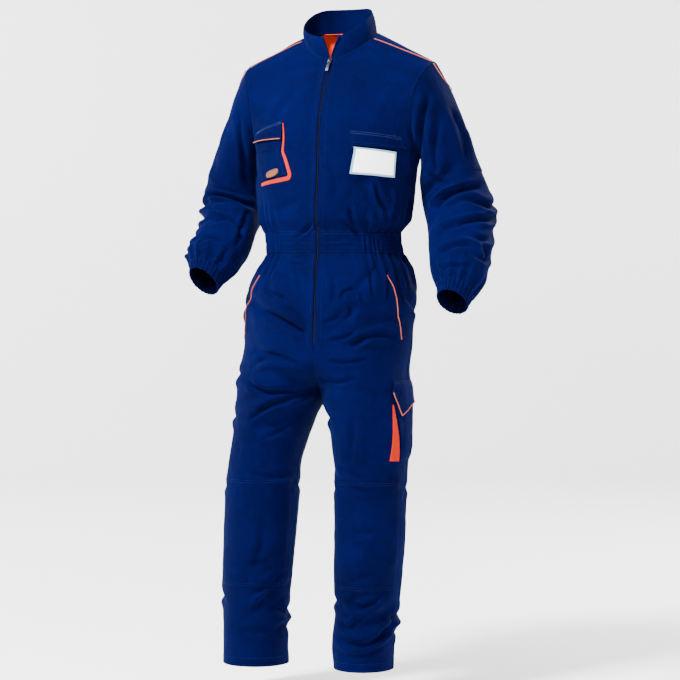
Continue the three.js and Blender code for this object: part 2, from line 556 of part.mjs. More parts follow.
// A trouser panel: share 0 is the middle seam or inseam, and share 1 the outer side seam
function trouserPoint(part, side, z, share, wave = null) {
  const sign = SIGN[side];
  const half = HALF[part];
  let x, y, wide, depth, start;
  if (z >= FORK_Z) {
    const t = trunkAt(z);
    const rise = part === "front" ? FRONT_RISE : BACK_RISE;
    const turn = Math.pow(clamp((z - rise) / (FORK_Z - rise), 0, 1), RISE_CURVE);
    const w = (2 * Math.sin((Math.PI / 2) * turn)) / (1 + Math.sin((Math.PI / 2) * turn));
    const whole = Math.abs(t[side] - t[half.x]);
    x = t[half.x] + (sign * w * whole) / 2;
    wide = whole * (1 - w / 2);
    y = t.y;
    depth = t[half.depth];
    start = -90 * turn;
  } else {
    const leg = legAt[side](z);
    x = leg.x;
    wide = leg.side;
    y = leg.y;
    depth = leg[half.depth];
    start = -90;
  }
  const degrees = lerp(start, 90, share);
  const a = radians(degrees);
  const p = point(x + sign * wide * Math.sin(a), y + half.facing * depth * Math.cos(a), z);
  let fold = legFold(FOLDS[`leg_${part}_${side}`], degrees, z) * ramp(share, 0, 0.12);
  if (part === "front") fold += trunkFold(FOLDS[`trunk_${side}`], degrees, z) * ramp(z, -800, -730);
  else fold += trunkFold(FOLDS.back, sign * degrees, z) * ramp(z, -800, -730);
  return pushOut(p, x, y, fold * ramp(share, 1, 0.88) + gather(z, wave));
}

function sleeveMiddle(side, at) {
  const row = sleeveAt[side](at);
  return point((SIGN[side] * (row.outX + row.inX)) / 2, row.y, (row.outZ + row.inZ) / 2);
}
function sleeveSurface(side, at, degrees, by = 0) {
  const p = sleevePoint(side, at, degrees);
  const fold = sleeveFold(side, degrees, at) * ramp(at, 0.1, 0.8) * ramp(at, 9, 8.2);
  const away = p.clone().sub(sleeveMiddle(side, at)).normalize();
  return p.addScaledVector(away, fold + by);
}

// Rows of a panel: v is the row's place, shares are the places along it
function row(v, shares, at) {
  const points = shares.map(at);
  return { v, shares, points, moved: points.map((p) => p.clone()) };
}
function toward(p, q, by) {
  p.addScaledVector(q.clone().sub(p).normalize(), by);
}
// Pulls the edges of a panel in, to leave the seam gap
function pullIn(rows, edges) {
  const last = rows.length - 1;
  if (edges.bottom) pullRow(rows[0], rows[1], edges.bottom);
  if (edges.top) pullRow(rows[last], rows[last - 1], edges.top);
  for (const r of rows) {
    const n = r.points.length - 1;
    if (edges.start) toward(r.moved[0], r.points[1], edges.start);
    if (edges.end) toward(r.moved[n], r.points[n - 1], edges.end);
  }
}
function pullRow(r, next, by) {
  r.moved.forEach((p, i) => {
    const gaps = next.shares.map((s) => Math.abs(s - r.shares[i]));
    toward(p, next.points[gaps.indexOf(Math.min(...gaps))], by);
  });
}

// Sheets of cloth. Points are joined where they meet before the seams are pulled in.
const keyOf = (p) => [p.x, p.y, p.z].map((v) => Math.round(v * 100)).join(",");
const seamNormals = new Map();
function sheet() {
  return { raw: [], points: [], faces: [], keys: new Map() };
}
function addPoint(made, p, moved) {
  const key = keyOf(p);
  if (!made.keys.has(key)) {
    made.keys.set(key, made.raw.length);
    made.raw.push(p);
    made.points.push(moved);
  }
  return made.keys.get(key);
}
function addFace(made, corners, flip) {
  const [a, b, c] = corners;
  if (a !== b && b !== c && a !== c) made.faces.push(flip ? [a, c, b] : [a, b, c]);
}
// Joins rows, from low to high, with triangles
function addRows(made, rows, flip, closed = false) {
  const indexed = rows.map((r) => r.points.map((p, i) => addPoint(made, p, r.moved[i])));
  for (let r = 0; r + 1 < rows.length; r += 1) {
    const [low, high] = [indexed[r], indexed[r + 1]];
    const [lowAt, highAt] = [rows[r].shares, rows[r + 1].shares];
    const offset = 2 * (rows[r].offset ?? 0);
    let i = 0;
    let j = 0;
    while (i + 1 < low.length || j + 1 < high.length) {
      const lowNext = i + 1 < low.length ? lowAt[i + 1] : Infinity;
      const highNext = j + 1 < high.length ? highAt[j + 1] : Infinity;
      const even = Math.abs(lowNext - highNext) < 1e-9;
      if (even ? (i + j + offset) % 4 < 2 : lowNext < highNext) {
        addFace(made, [low[i], low[i + 1], high[j]], flip);
        i += 1;
      } else {
        addFace(made, [low[i], high[j + 1], high[j]], flip);
        j += 1;
      }
    }
    if (closed) {
      const [a, b] = [low[low.length - 1], low[0]];
      const [c, d] = [high[0], high[high.length - 1]];
      addFace(made, [a, b, c], flip);
      addFace(made, [a, c, d], flip);
    }
  }
  return made;
}
function ownNormals(made) {
  const normals = made.raw.map(() => point(0, 0, 0));
  for (const [a, b, c] of made.faces) {
    const ab = made.raw[b].clone().sub(made.raw[a]);
    const n = ab.cross(made.raw[c].clone().sub(made.raw[a]));
    for (const i of [a, b, c]) normals[i].add(n);
  }
  return normals;
}
// The way from each point into its own sheet
function inwardWays(made) {
  const ways = made.raw.map(() => point(0, 0, 0));
  for (const face of made.faces) {
    for (const i of face) for (const j of face) ways[i].add(made.raw[j]).sub(made.raw[i]);
  }
  return ways.map((way) => way.normalize());
}
// Panels that meet at a seam share the normals there
function shareNormals(made) {
  ownNormals(made).forEach((n, i) => {
    const key = keyOf(made.raw[i]);
    if (!seamNormals.has(key)) seamNormals.set(key, point(0, 0, 0));
    seamNormals.get(key).add(n);
  });
}

// A closed wall from a sheet: its outer face lies `lift` outside the sheet
function thicken(made, wall = WALL, lift = 0) {
  const count = made.raw.length;
  const position = new Float32Array(count * 6);
  const ways = inwardWays(made);
  ownNormals(made).forEach((own, i) => {
    own.normalize();
    const meet = (seamNormals.get(keyOf(made.raw[i])) ?? own).clone().normalize();
    // A seam at the bottom of a crevice needs no mitre: the walls lean away from each other there
    const shared = meet.dot(ways[i]) > 0.12 && meet.dot(own) < 0.55 ? own : meet;
    const mitre = 1 / clamp(shared.dot(own), 0.6, 1);
    made.points[i].clone().addScaledVector(shared, lift * mitre).toArray(position, i * 3);
    made.points[i].clone().addScaledVector(shared, (lift - wall) * mitre).toArray(position, (count + i) * 3);
  });
  const edges = new Map();
  const index = [];
  for (const [a, b, c] of made.faces) {
    index.push(a, b, c, count + a, count + c, count + b);
    for (const [from, to] of [[a, b], [b, c], [c, a]]) {
      if (!edges.delete(`${to},${from}`)) edges.set(`${from},${to}`, [from, to]);
    }
  }
  for (const [a, b] of edges.values()) index.push(a, count + b, b, a, count + a, count + b);
  const geometry = new THREE.BufferGeometry();
  geometry.setAttribute("position", new THREE.BufferAttribute(position, 3));
  geometry.setIndex(index);
  return geometry;
}

const suit = new THREE.Group();
function addPiece(name, geometry, finish, group = suit) {
  const mesh = new THREE.Mesh(geometry, new THREE.MeshStandardMaterial(finish));
  mesh.name = name;
  group.add(mesh);
}

// Columns of a gathered row
function gatherColumns(part) {
  const from = part === "front" ? GATHER_FROM / 90 : 0;
  const waves = part === "front" ? FRONT_WAVES : BACK_WAVES;
  const flat = part === "front" ? range(4).slice(0, -1).map((f) => ({ share: f * from, wave: null })) : [];
  const fine = range(waves * 2).map((f, i) => {
    return { share: lerp(from, 1, f), wave: { at: i, share: part === "front" ? f : 1 } };
  });
  return [...flat, ...fine];
}
function gatheredRow(part, z, at) {
  const columns = gatherColumns(part);
  return row(z, columns.map((c) => c.share), (share, i) => at(share, columns[i].wave));
}

const HALF_SEAM = SEAM_GAP / 2;
const COLUMNS = { front: range(9), back: range(8) };
const YOKE_STEPS = range(5);

// Moves the front middle edge back from the zip
function openAtZip(rows, side) {
  for (const r of rows) {
    const p = r.points[0];
    const onMiddle = Math.abs(p.x - trunkAt(p.z).front_x) < 1;
    if (r.v > ZIP_BOTTOM && onMiddle) r.moved[0].x = p.x + SIGN[side] * ZIP_HALF_GAP;
  }
}

const panels = {};
function bodiceRows(part, side) {
  const at = (r) => (share, wave) => bodicePoint(part, side, r, share, wave);
  const arms = ARM_ROWS[part];
  const rows = [
    ...BODICE_FINE_Z.map((z) => gatheredRow(part, z, at({ z }))),
    ...BODICE_Z.map((z) => row(z, COLUMNS[part], (share) => at({ z })(share))),
    ...arms.map((arm) => row(rowHeight(part, { arm }), COLUMNS[part], (share) => at({ arm })(share))),
  ];
  pullIn(rows, { bottom: HALF_SEAM, top: ANGLED_SEAM });
  rows.forEach((r, i) => {
    const n = r.points.length - 1;
    const above = i - (rows.length - arms.length);
    toward(r.moved[n], r.points[n - 1], above < 0 ? HALF_SEAM : ANGLED_SEAM);
    const onNeck = above >= 0 && arms[above] >= HALF[part].corner;
    if (onNeck) toward(r.moved[0], r.points[1], above === arms.indexOf(HALF[part].corner) ? 0 : ANGLED_SEAM);
    if (onNeck && part === "back") r.moved[0].z -= ANGLED_SEAM;
    if (onNeck && part === "front" && arms[above] === HALF[part].corner) r.moved[0].z -= ANGLED_SEAM;
  });
  if (part === "front") openAtZip(rows, side);
  panels[`bodice_${part}_${side}`] = rows;
  return rows;
}
function yokeRows(side) {
  const sharesAt = (over) => (over === 0 ? COLUMNS.front : COLUMNS.back);
  const rows = YOKE_STEPS.map((over) => row(over, sharesAt(over), (share) => yokePoint(side, over, share)));
  pullIn(rows, { bottom: HALF_SEAM, top: HALF_SEAM, start: ANGLED_SEAM, end: ANGLED_SEAM });
  panels[`yoke_${side}`] = rows;
  return rows;
}
function sleeveRows(side) {
  const angles = [
    ...ARM_ROWS.front.slice(0, -1),
    ...YOKE_STEPS.slice(0, -1).map((f) => lerp(YOKE.armFront, YOKE.armBack, f)),
    ...[...ARM_ROWS.back].reverse().slice(0, -1).map((a) => 360 - a),
  ];
  const shares = angles.map((a) => a / 360);
  const rows = SLEEVE_AT.map((at) => row(at, shares, (s) => sleeveSurface(side, at, s * 360)));
  const fine = range(CUFF_WAVES * 2).slice(0, -1);
  for (const at of SLEEVE_FINE_AT) {
    const high = CUFF_BLOUSE * ramp(at, 8.2, 8.8);
    rows.push(row(at, fine, (s, i) => sleeveSurface(side, at, s * 360, high * Math.cos(Math.PI * i))));
  }
  pullIn(rows, { bottom: ANGLED_SEAM, top: HALF_SEAM });
  panels[`sleeve_${side}`] = rows;
  return rows;
}
function cuffRows(side) {
  const fine = range(CUFF_WAVES * 2).slice(0, -1);
  const rows = range(2).map((f) => {
    const at = lerp(CUFF_START, CUFF_END, f);
    const high = CUFF_BLOUSE - 1.4 * f;
    return row(at, fine, (s, i) => sleeveSurface(side, at, s * 360, high * Math.cos(Math.PI * i)));
  });
  pullIn(rows, { bottom: HALF_SEAM });
  return rows;
}
function bandRows(part, side) {
  const rows = [BAND_BOTTOM, BAND_TOP].map((z) =>
    gatheredRow(part, z, (share, wave) => bodicePoint(part, side, { z }, share, wave)),
  );
  pullIn(rows, { bottom: HALF_SEAM, top: HALF_SEAM });
  if (part === "front") openAtZip(rows, side);
  return rows;
}
function trouserRows(part, side) {
  const rows = [
    ...TROUSER_Z.map((z) => row(z, COLUMNS[part], (share) => trouserPoint(part, side, z, share))),
    ...TROUSER_FINE_Z.map((z) => gatheredRow(part, z, (s, wave) => trouserPoint(part, side, z, s, wave))),
  ];
  pullIn(rows, { end: HALF_SEAM, top: HALF_SEAM });
  for (const r of rows) {
    if (r.v > FORK_Z + 60) r.moved[0].x = r.points[0].x + SIGN[side] * HALF_SEAM;
    else toward(r.moved[0], r.points[1], r.v > FORK_Z - 1 ? 0.4 : HALF_SEAM);
  }
  if (part === "front") openAtZip(rows, side);
  panels[`trouser_${part}_${side}`] = rows;
  return rows;
}
// The collar stands on the neck seam. Its ends open in a V above the zip.
function collarRows(side) {
  const angles = [
    ...ARM_ROWS.front.filter((a) => a >= HALF.front.corner)
      .map((a) => (YOKE.neckFront * (a - HALF.front.corner)) / (HALF.front.end - HALF.front.corner)),
    ...YOKE_STEPS.slice(1).map((f) => lerp(YOKE.neckFront, YOKE.neckBack, f)),
    ...ARM_ROWS.back.filter((a) => a >= HALF.back.corner).reverse().slice(1)
      .map((a) => lerp(180, YOKE.neckBack, (a - HALF.back.corner) / (HALF.back.end - HALF.back.corner))),
  ];
  const rows = range(3).map((h) =>
    row(h, angles.map((a) => a / 180), (s) => {
      const p = neckPoint(side, s * 180);
      const high = lerp(COLLAR_FRONT, COLLAR_BACK, (1 - Math.cos(Math.PI * s)) / 2);
      const { dip, shift } = COLLAR_LEAN[side];
      const flank = Math.pow(Math.sin(Math.PI * Math.min(s / COLLAR_FLANK, 1)), 2);
      p.z += (high - dip * flank) * h;
      pushOut(p, NECK.x, NECK.y, COLLAR_SWELL * Math.sin(Math.PI * h));
      p.x += shift * Math.sin(Math.PI * s) * h;
      return p;
    }),
  );
  for (const p of rows[0].moved) p.z += ANGLED_SEAM;
  for (const r of rows) {
    const open = ZIP_HALF_GAP + COLLAR_OPEN * Math.pow(r.v, 1.3);
    r.moved[0].x = NECK.x + SIGN[side] * open;
  }
  return rows;
}

// A place on a panel, read from its facets. `leans` tells which way a cell's diagonal runs.
const leansOf = (rows, i) => (rows[0].leans ? rows[0].leans[i] : i % 2 === 1);
function onCell([low0, low1, high0, high1], g, f, leans) {
  const mix = (a, b, c, u, v) =>
    a.clone().multiplyScalar(1 - u - v).addScaledVector(b, u).addScaledVector(c, v);
  if (leans) return g >= f ? mix(low0, low1, high1, g - f, f) : mix(low0, high0, high1, f - g, g);
  return g + f <= 1 ? mix(low0, low1, high0, g, f) : mix(high1, high0, low1, 1 - g, 1 - f);
}
function place(panel, share, v) {
  const rows = panels[panel];
  let r = 0;
  while (r < rows.length - 2 && v > rows[r + 1].v) r += 1;
  const f = (v - rows[r].v) / (rows[r + 1].v - rows[r].v);
  const pair = [rows[r], rows[r + 1]];
  const cells = pair.map((each) => {
    let i = 0;
    while (i < each.shares.length - 2 && share > each.shares[i + 1]) i += 1;
    return { i, g: (share - each.shares[i]) / (each.shares[i + 1] - each.shares[i]) };
  });
  const normalOf = (p) => seamNormals.get(keyOf(p)).clone().normalize();
  const corners = cells.flatMap(({ i }, k) => [pair[k].points[i], pair[k].points[i + 1]]);
  const normals = corners.map(normalOf);
  if (pair[0].shares.length === pair[1].shares.length) {
    const leans = leansOf(rows, cells[0].i);
    const n = onCell(normals, cells[0].g, f, leans).normalize();
    return { p: onCell(corners, cells[0].g, f, leans), n };
  }
  const across = (list, k) => list[2 * k].clone().lerp(list[2 * k + 1], cells[k].g);
  return {
    p: across(corners, 0).lerp(across(corners, 1), f),
    n: across(normals, 0).lerp(across(normals, 1), f).normalize(),
  };
}
function lifted({ p, n }, lift) {
  return p.clone().addScaledVector(n, lift);
}
function addLaid(name, rows, outward, wall, finish) {
  let made = addRows(sheet(), rows, false);
  const turned = ownNormals(made)[made.faces[0][0]].dot(outward) < 0;
  if (turned) made = addRows(sheet(), rows, true);
  addPiece(name, thicken(made, wall), finish);
}
// Where a line from one place to another crosses the panel's own rows and columns
function crossings(from, to, grid, least = 0.06) {
  const list = grid.map((g) => (g - from) / (to - from)).filter((t) => t > least && t < 1 - least);
  return list.sort((a, b) => a - b).filter((t, i, all) => i === 0 || t - all[i - 1] > least / 2);
}
function merge(...lists) {
  const all = lists.flat().sort((a, b) => a - b);
  return all.filter((t, i) => i === 0 || t - all[i - 1] > 0.03);
}
// A piece that lies on a panel: lines between the lines of its outline are worked out, and each
// line has a point wherever it crosses the panel's columns
function layOn({ name, panel, outline, wall = WALL, upright = false, finish }) {
  const grid = { s: panels[panel][0].shares, v: panels[panel].map((r) => r.v) };
  if (panels[panel].some((r) => r.shares.length !== grid.s.length)) grid.s = panels[panel].at(-1).shares;
  const key = upright ? "v" : "s";
  const rows = [];
  let outward;
  outline.slice(0, -1).forEach((low, k) => {
    const high = outline[k + 1];
    const middle = (line) => (line.v0 + line.v1) / 2;
    const between = upright ? [] : crossings(middle(low), middle(high), grid.v);
    for (const f of merge(range(low.steps), between)) {
      if (k > 0 && f === 0) continue;
      const mix = (end) => (field) => lerp(low[field + end], high[field + end], f);
      const [start, end] = [mix(0), mix(1)];
      const shares = [0, ...crossings(start(key), end(key), grid[key]), 1];
      const at = (field, g) => lerp(start(field), end(field), g);
      const places = shares.map((g) => place(panel, at("s", g), at("v", g)));
      rows.push(row(k + f, shares.map((g) => at(key, g)), (_, i) => lifted(places[i], at("l", shares[i]))));
      outward = places[0].n;
    }
  });
  addLaid(name, rows, outward, wall, finish);
}
// A narrow strip along a line on a panel
function stripOn({ name, panel, line, lift, wall = PIPING_WALL, finish = ORANGE }) {
  const grid = { s: panels[panel][0].shares, v: panels[panel].map((r) => r.v) };
  const places = [];
  line.slice(0, -1).forEach((from, k) => {
    const to = line[k + 1];
    const cuts = [crossings(from.s, to.s, grid.s), crossings(from.v, to.v, grid.v)];
    for (const f of merge(range(from.steps), ...cuts)) {
      if (k > 0 && f === 0) continue;
      const found = place(panel, lerp(from.s, to.s, f), lerp(from.v, to.v, f));
      places.push({ ...found, w: lerp(from.w, to.w, f) });
    }
  });
  const last = places.length - 1;
  const rows = [-1, 1].map((edge) =>
    row(edge, places.map((_, i) => i), (i) => {
      const along = places[Math.min(i + 1, last)].p.clone().sub(places[Math.max(i - 1, 0)].p);
      const across = along.cross(places[i].n).normalize();
      return lifted(places[i], lift).addScaledVector(across, (edge * places[i].w) / 2);
    }),
  );
  addLaid(name, rows, places[0].n, wall, finish);
}

// The sewn panels. Every sheet is made first, so that the seams share their normals.
const cloth = [];
function addCloth(name, made, finish, wall = WALL) {
  shareNormals(made);
  cloth.push({ name, made, finish, wall });
}
for (const side of SIDES) {
  const flip = side === "right";
  addCloth(`bodice_front_${side}`, addRows(sheet(), bodiceRows("front", side), flip), NAVY);
  addCloth(`yoke_${side}`, addRows(sheet(), yokeRows(side), flip), NAVY);
  addCloth(`sleeve_${side}`, addRows(sheet(), sleeveRows(side), !flip, true), NAVY);
  addCloth(`cuff_${side}`, addRows(sheet(), cuffRows(side), !flip, true), NAVY);
  addCloth(`trouser_front_${side}`, addRows(sheet(), trouserRows("front", side), flip), NAVY);
  addCloth(`trouser_back_${side}`, addRows(sheet(), trouserRows("back", side), !flip), NAVY);
}
const back = sheet();
const band = sheet();
const collar = sheet();
for (const side of SIDES) {
  addRows(back, bodiceRows("back", side), side === "left");
  addRows(band, bandRows("front", side), side === "right");
  addRows(band, bandRows("back", side), side === "left");
  addRows(collar, collarRows(side), side === "right");
}
addCloth("bodice_back", back, NAVY);
addCloth("waistband", band, NAVY);
addCloth("collar", collar, NAVY, COLLAR_WALL);
for (const { name, made, finish, wall } of cloth) addPiece(name, thicken(made, wall), finish);

// The outer half of a leg as one panel across the side seam: shares 0 to 1 front, 1 to 2 back
for (const side of SIDES) {
  const fronts = panels[`trouser_front_${side}`].slice(0, TROUSER_Z.length);
  const backs = panels[`trouser_back_${side}`];
  const leans = [
    ...COLUMNS.front.slice(1).map((_, i) => i % 2 === 1),
    ...COLUMNS.back.slice(1).map((_, i) => i % 2 === 0).reverse(),
  ];
  panels[`leg_${side}`] = fronts.map((front, i) => ({
    v: front.v,
    leans,
    shares: [...front.shares, ...[...backs[i].shares].reverse().slice(1).map((s) => 2 - s)],
    points: [...front.points, ...[...backs[i].points].reverse().slice(1)],
  }));
}

// What lies on the panels
for (const piece of LAID) layOn(piece);
for (const piece of STRIPS) stripOn(piece);

// The knee patches and the neck facing use their panels' own rows, so that they stay even
function layEven(name, sources, keep, lay, finish) {
  const made = sheet();
  for (const { rows, flip } of sources) {
    const kept = rows.filter((r) => r.v >= keep.low && r.v <= keep.high).map((r) => {
      const inside = (i) => r.shares[i] > keep.from - 1e-6 && r.shares[i] < keep.to + 1e-6;
      const at = r.shares.map((_, i) => i).filter(inside);
      const points = at.map((i) => r.points[i]);
      const moved = points.map((p) => p.clone());
      return { v: r.v, shares: at.map((i) => r.shares[i]), points, moved, offset: at[0] };
    });
    lay.trim?.(kept);
    addRows(made, kept, flip);
  }
  addPiece(name, thicken(made, lay.wall, lay.lift), finish);
}
for (const side of SIDES) {
  const source = { rows: panels[`trouser_front_${side}`], flip: side === "right" };
  layEven(`knee_patch_${side}`, [source], KNEE, { wall: 1.2, lift: 1.7 }, NAVY);
}
const facingSources = SIDES.map((side) => ({
  rows: panels[`bodice_back_${side}`].slice(0, -1),
  flip: side === "left",
}));
const trimFacing = (kept) => kept.forEach((r) => {
  if (r.v > NECK_Z_BACK + 1) toward(r.moved[0], r.points[1], FACING_TRIM);
  else if (r.v > NECK_Z_BACK - 1) r.moved[0].z -= FACING_TRIM;
});
layEven("neck_facing", facingSources, FACING, { wall: 1.2, lift: -WALL - 0.85, trim: trimFacing }, ORANGE);

// The zip tape lies inside the fronts, behind the gap
const zipPanels = ["bodice_front", "trouser_front"];
function tapeRow(kind, z) {
  const places = [
    place(`${kind}_right`, TAPE_SHARE, z),
    place(`${kind}_left`, 0, z),
    place(`${kind}_left`, TAPE_SHARE, z),
  ];
  return row(z, [-1, 0, 1], (_, i) => lifted(places[i], -WALL - TAPE_GAP));
}
const tapeRows = zipPanels
  .flatMap((kind) => panels[`${kind}_left`].map((r) => ({ kind, z: r.v })))
  .filter(({ z }) => z > ZIP_BOTTOM - 20 && z < NECK_Z_FRONT - 10)
  .sort((a, b) => a.z - b.z)
  .map(({ kind, z }) => tapeRow(kind, z));
tapeRows.push(tapeRow("bodice_front", NECK_Z_FRONT - 3));
addPiece("zip_tape", thicken(addRows(sheet(), tapeRows, false), 1), NAVY_DARK);

// The slider and its pull tab, in a frame on the front middle: x to the side, y inwards, z up
const frontMiddle = (z) => place("bodice_front_left", 0, z).p;
const seat = frontMiddle(SLIDER_Z);
const upward = frontMiddle(SLIDER_Z + 8).sub(frontMiddle(SLIDER_Z - 8)).setX(0).normalize();
const inward = upward.clone().cross(point(1, 0, 0));
const sliderFrame = new THREE.Matrix4().makeBasis(point(1, 0, 0), inward, upward).setPosition(seat);
const block = (b) =>
  Manifold.cube([b.wide, b.deep, b.high], true).translate([b.x ?? 0, b.y, b.z]);
function metalPiece(name, solid, finish) {
  const mesh = solid.getMesh();
  const geometry = new THREE.BufferGeometry();
  geometry.setAttribute("position", new THREE.BufferAttribute(Float32Array.from(mesh.vertProperties), 3));
  geometry.setIndex(new THREE.BufferAttribute(Uint32Array.from(mesh.triVerts), 1));
  addPiece(name, geometry.applyMatrix4(sliderFrame), finish);
}
const S = SLIDER;
const body = block({ wide: S.wide, deep: S.deep, high: S.high, y: -S.gap - S.deep / 2, z: 0 });
const outerY = -S.gap - S.deep;
const arch = block({ wide: S.arch, deep: S.rise, high: S.high - 2, y: outerY - S.rise / 2 + 0.2, z: 0 });
const windowDeep = S.rise - 1.6;
const pivotY = outerY - windowDeep / 2;
const archWindow = block({ wide: S.arch + 1, deep: windowDeep, high: S.high - 6, y: pivotY, z: 0 });
metalPiece("zip_slider", body.add(arch.subtract(archWindow)), METAL);

const T = TAB;
const pin = Manifold.cylinder(T.inner + 2 * T.arm, T.pin, T.pin, 12, true)
  .rotate([0, 90, 0])
  .translate([0, pivotY, T.pivotZ]);
const arms = [-1, 1].map((k) => {
  const x = (k * (T.inner + T.arm)) / 2;
  const z = T.pivotZ - T.reach / 2;
  return block({ wide: T.arm, deep: T.thick, high: T.reach + 1, x, y: pivotY, z });
});
const plateZ = T.pivotZ - T.reach - T.long / 2;
const plate = block({ wide: T.wide, deep: T.thick, high: T.long, y: pivotY, z: plateZ });
metalPiece("zip_pull_tab", pin.add(arms[0]).add(arms[1]).add(plate), METAL);

export default suit;
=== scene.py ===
# Boiler suit, dressed for the render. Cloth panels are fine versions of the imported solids: the same
# sections and seams, with creases, gathers, stitching and woven materials added.
# Sizes are in millimetres until a mesh is made, and then in metres. +Z up, the front faces -Y,
# +X is the wearer's left, and the origin is the middle of the neck seam.
import math
import random
import bpy
import numpy as np
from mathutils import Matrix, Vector


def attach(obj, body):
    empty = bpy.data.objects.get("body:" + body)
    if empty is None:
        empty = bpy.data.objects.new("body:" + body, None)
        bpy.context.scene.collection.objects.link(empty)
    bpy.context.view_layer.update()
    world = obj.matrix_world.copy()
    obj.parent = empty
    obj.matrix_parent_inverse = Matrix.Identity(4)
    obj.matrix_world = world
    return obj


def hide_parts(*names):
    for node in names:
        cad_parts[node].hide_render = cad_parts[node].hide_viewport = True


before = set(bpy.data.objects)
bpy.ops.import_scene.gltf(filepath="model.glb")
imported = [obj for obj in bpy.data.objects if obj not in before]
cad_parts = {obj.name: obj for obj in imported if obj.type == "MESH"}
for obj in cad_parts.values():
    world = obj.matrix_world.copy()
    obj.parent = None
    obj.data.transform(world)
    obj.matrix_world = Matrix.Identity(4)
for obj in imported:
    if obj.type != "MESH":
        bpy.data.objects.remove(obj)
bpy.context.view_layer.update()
random.seed(7)

# The camera, at the photograph's viewing angle
AZIMUTH, ELEVATION = 18.0, 1.0
TARGET = Vector((0, 0, -0.75))
DISTANCE, FRAME_WIDTH = 5.2, 1.673
turn, lift = math.radians(AZIMUTH), math.radians(ELEVATION)
back_way = Vector((math.sin(turn) * math.cos(lift), -math.cos(turn) * math.cos(lift), math.sin(lift)))
camera = bpy.data.objects.new("camera", bpy.data.cameras.new("camera"))
bpy.context.scene.collection.objects.link(camera)
camera.data.sensor_width = 36
camera.data.lens = 36 * DISTANCE / FRAME_WIDTH
camera.data.clip_end = 60
camera.location = TARGET + back_way * DISTANCE
camera.rotation_mode = "QUATERNION"
camera.rotation_quaternion = (-back_way).to_track_quat("-Z", "Y")
bpy.context.scene.camera = camera

# Sizes of the cloth, as in the solids
NECK_Z_FRONT, NECK_Z_BACK = -66, 10
COLLAR_FRONT, COLLAR_BACK = 51, 61
BAND_TOP, BAND_BOTTOM = -488, -540
ARMPIT_Z, ZIP_BOTTOM, FORK_Z, HEM_Z = -292, -762, -870, -1548
FRONT_RISE, BACK_RISE, RISE_CURVE = -765, -700, 1.8
TRUNK_RADIUS, LEG_RADIUS, SLEEVE_RADIUS, SLEEVE_STEP = 150, 95, 75, 55
NECK = dict(x=0, y=8, side=90, front=80, back=76, curve=2.6)
YOKE = dict(neck_front=70, neck_back=128, arm_front=165, arm_back=235)
YOKE_CROWN = 1
COLLAR_SWELL, COLLAR_OPEN = 2, 19
COLLAR_LEAN = dict(left=dict(dip=8, shift=-12), right=dict(dip=22, shift=-2))
COLLAR_FLANK = 0.84
SIGN = {"left": 1, "right": -1}
SIDES = ("left", "right")

# Sections and large folds of the solids, with the same named columns
TRUNK = [
  dict(z=60, front_x=0, back_x=0, left=90, right=-90, y=8, front=72, back=70),
  dict(z=10, front_x=0, back_x=0, left=110, right=-110, y=8, front=74, back=76),
  dict(z=-66, front_x=0, back_x=0, left=180, right=-180, y=4, front=76, back=102),
  dict(z=-110, front_x=-2, back_x=0, left=200, right=-200, y=0, front=104, back=116),
  dict(z=-165, front_x=-4, back_x=-2, left=208, right=-208, y=-4, front=125, back=123),
  dict(z=-230, front_x=-5, back_x=-3, left=208, right=-208, y=-8, front=139, back=124),
  dict(z=-292, front_x=-6, back_x=-4, left=206, right=-208, y=-10, front=143, back=121),
  dict(z=-340, front_x=-6, back_x=-6, left=196, right=-206, y=-11, front=144, back=119),
  dict(z=-400, front_x=-9, back_x=-8, left=187, right=-203, y=-12, front=143, back=116),
  dict(z=-455, front_x=-13, back_x=-9, left=180, right=-198, y=-12, front=136, back=111),
  dict(z=-488, front_x=-14, back_x=-9, left=156, right=-185, y=-12, front=122, back=101),
  dict(z=-540, front_x=-14, back_x=-10, left=163, right=-180, y=-12, front=120, back=100),
  dict(z=-578, front_x=-14, back_x=-11, left=186, right=-205, y=-12, front=132, back=116),
  dict(z=-625, front_x=-13, back_x=-13, left=197, right=-230, y=-13, front=141, back=130),
  dict(z=-690, front_x=-13, back_x=-17, left=192, right=-239, y=-14, front=146, back=136),
  dict(z=-762, front_x=-13, back_x=-22, left=187, right=-240, y=-17, front=147, back=135),
  dict(z=-825, front_x=-18, back_x=-28, left=179, right=-250, y=-20, front=138, back=128),
  dict(z=-870, front_x=-34, back_x=-34, left=184, right=-253, y=-22, front=128, back=121),
]
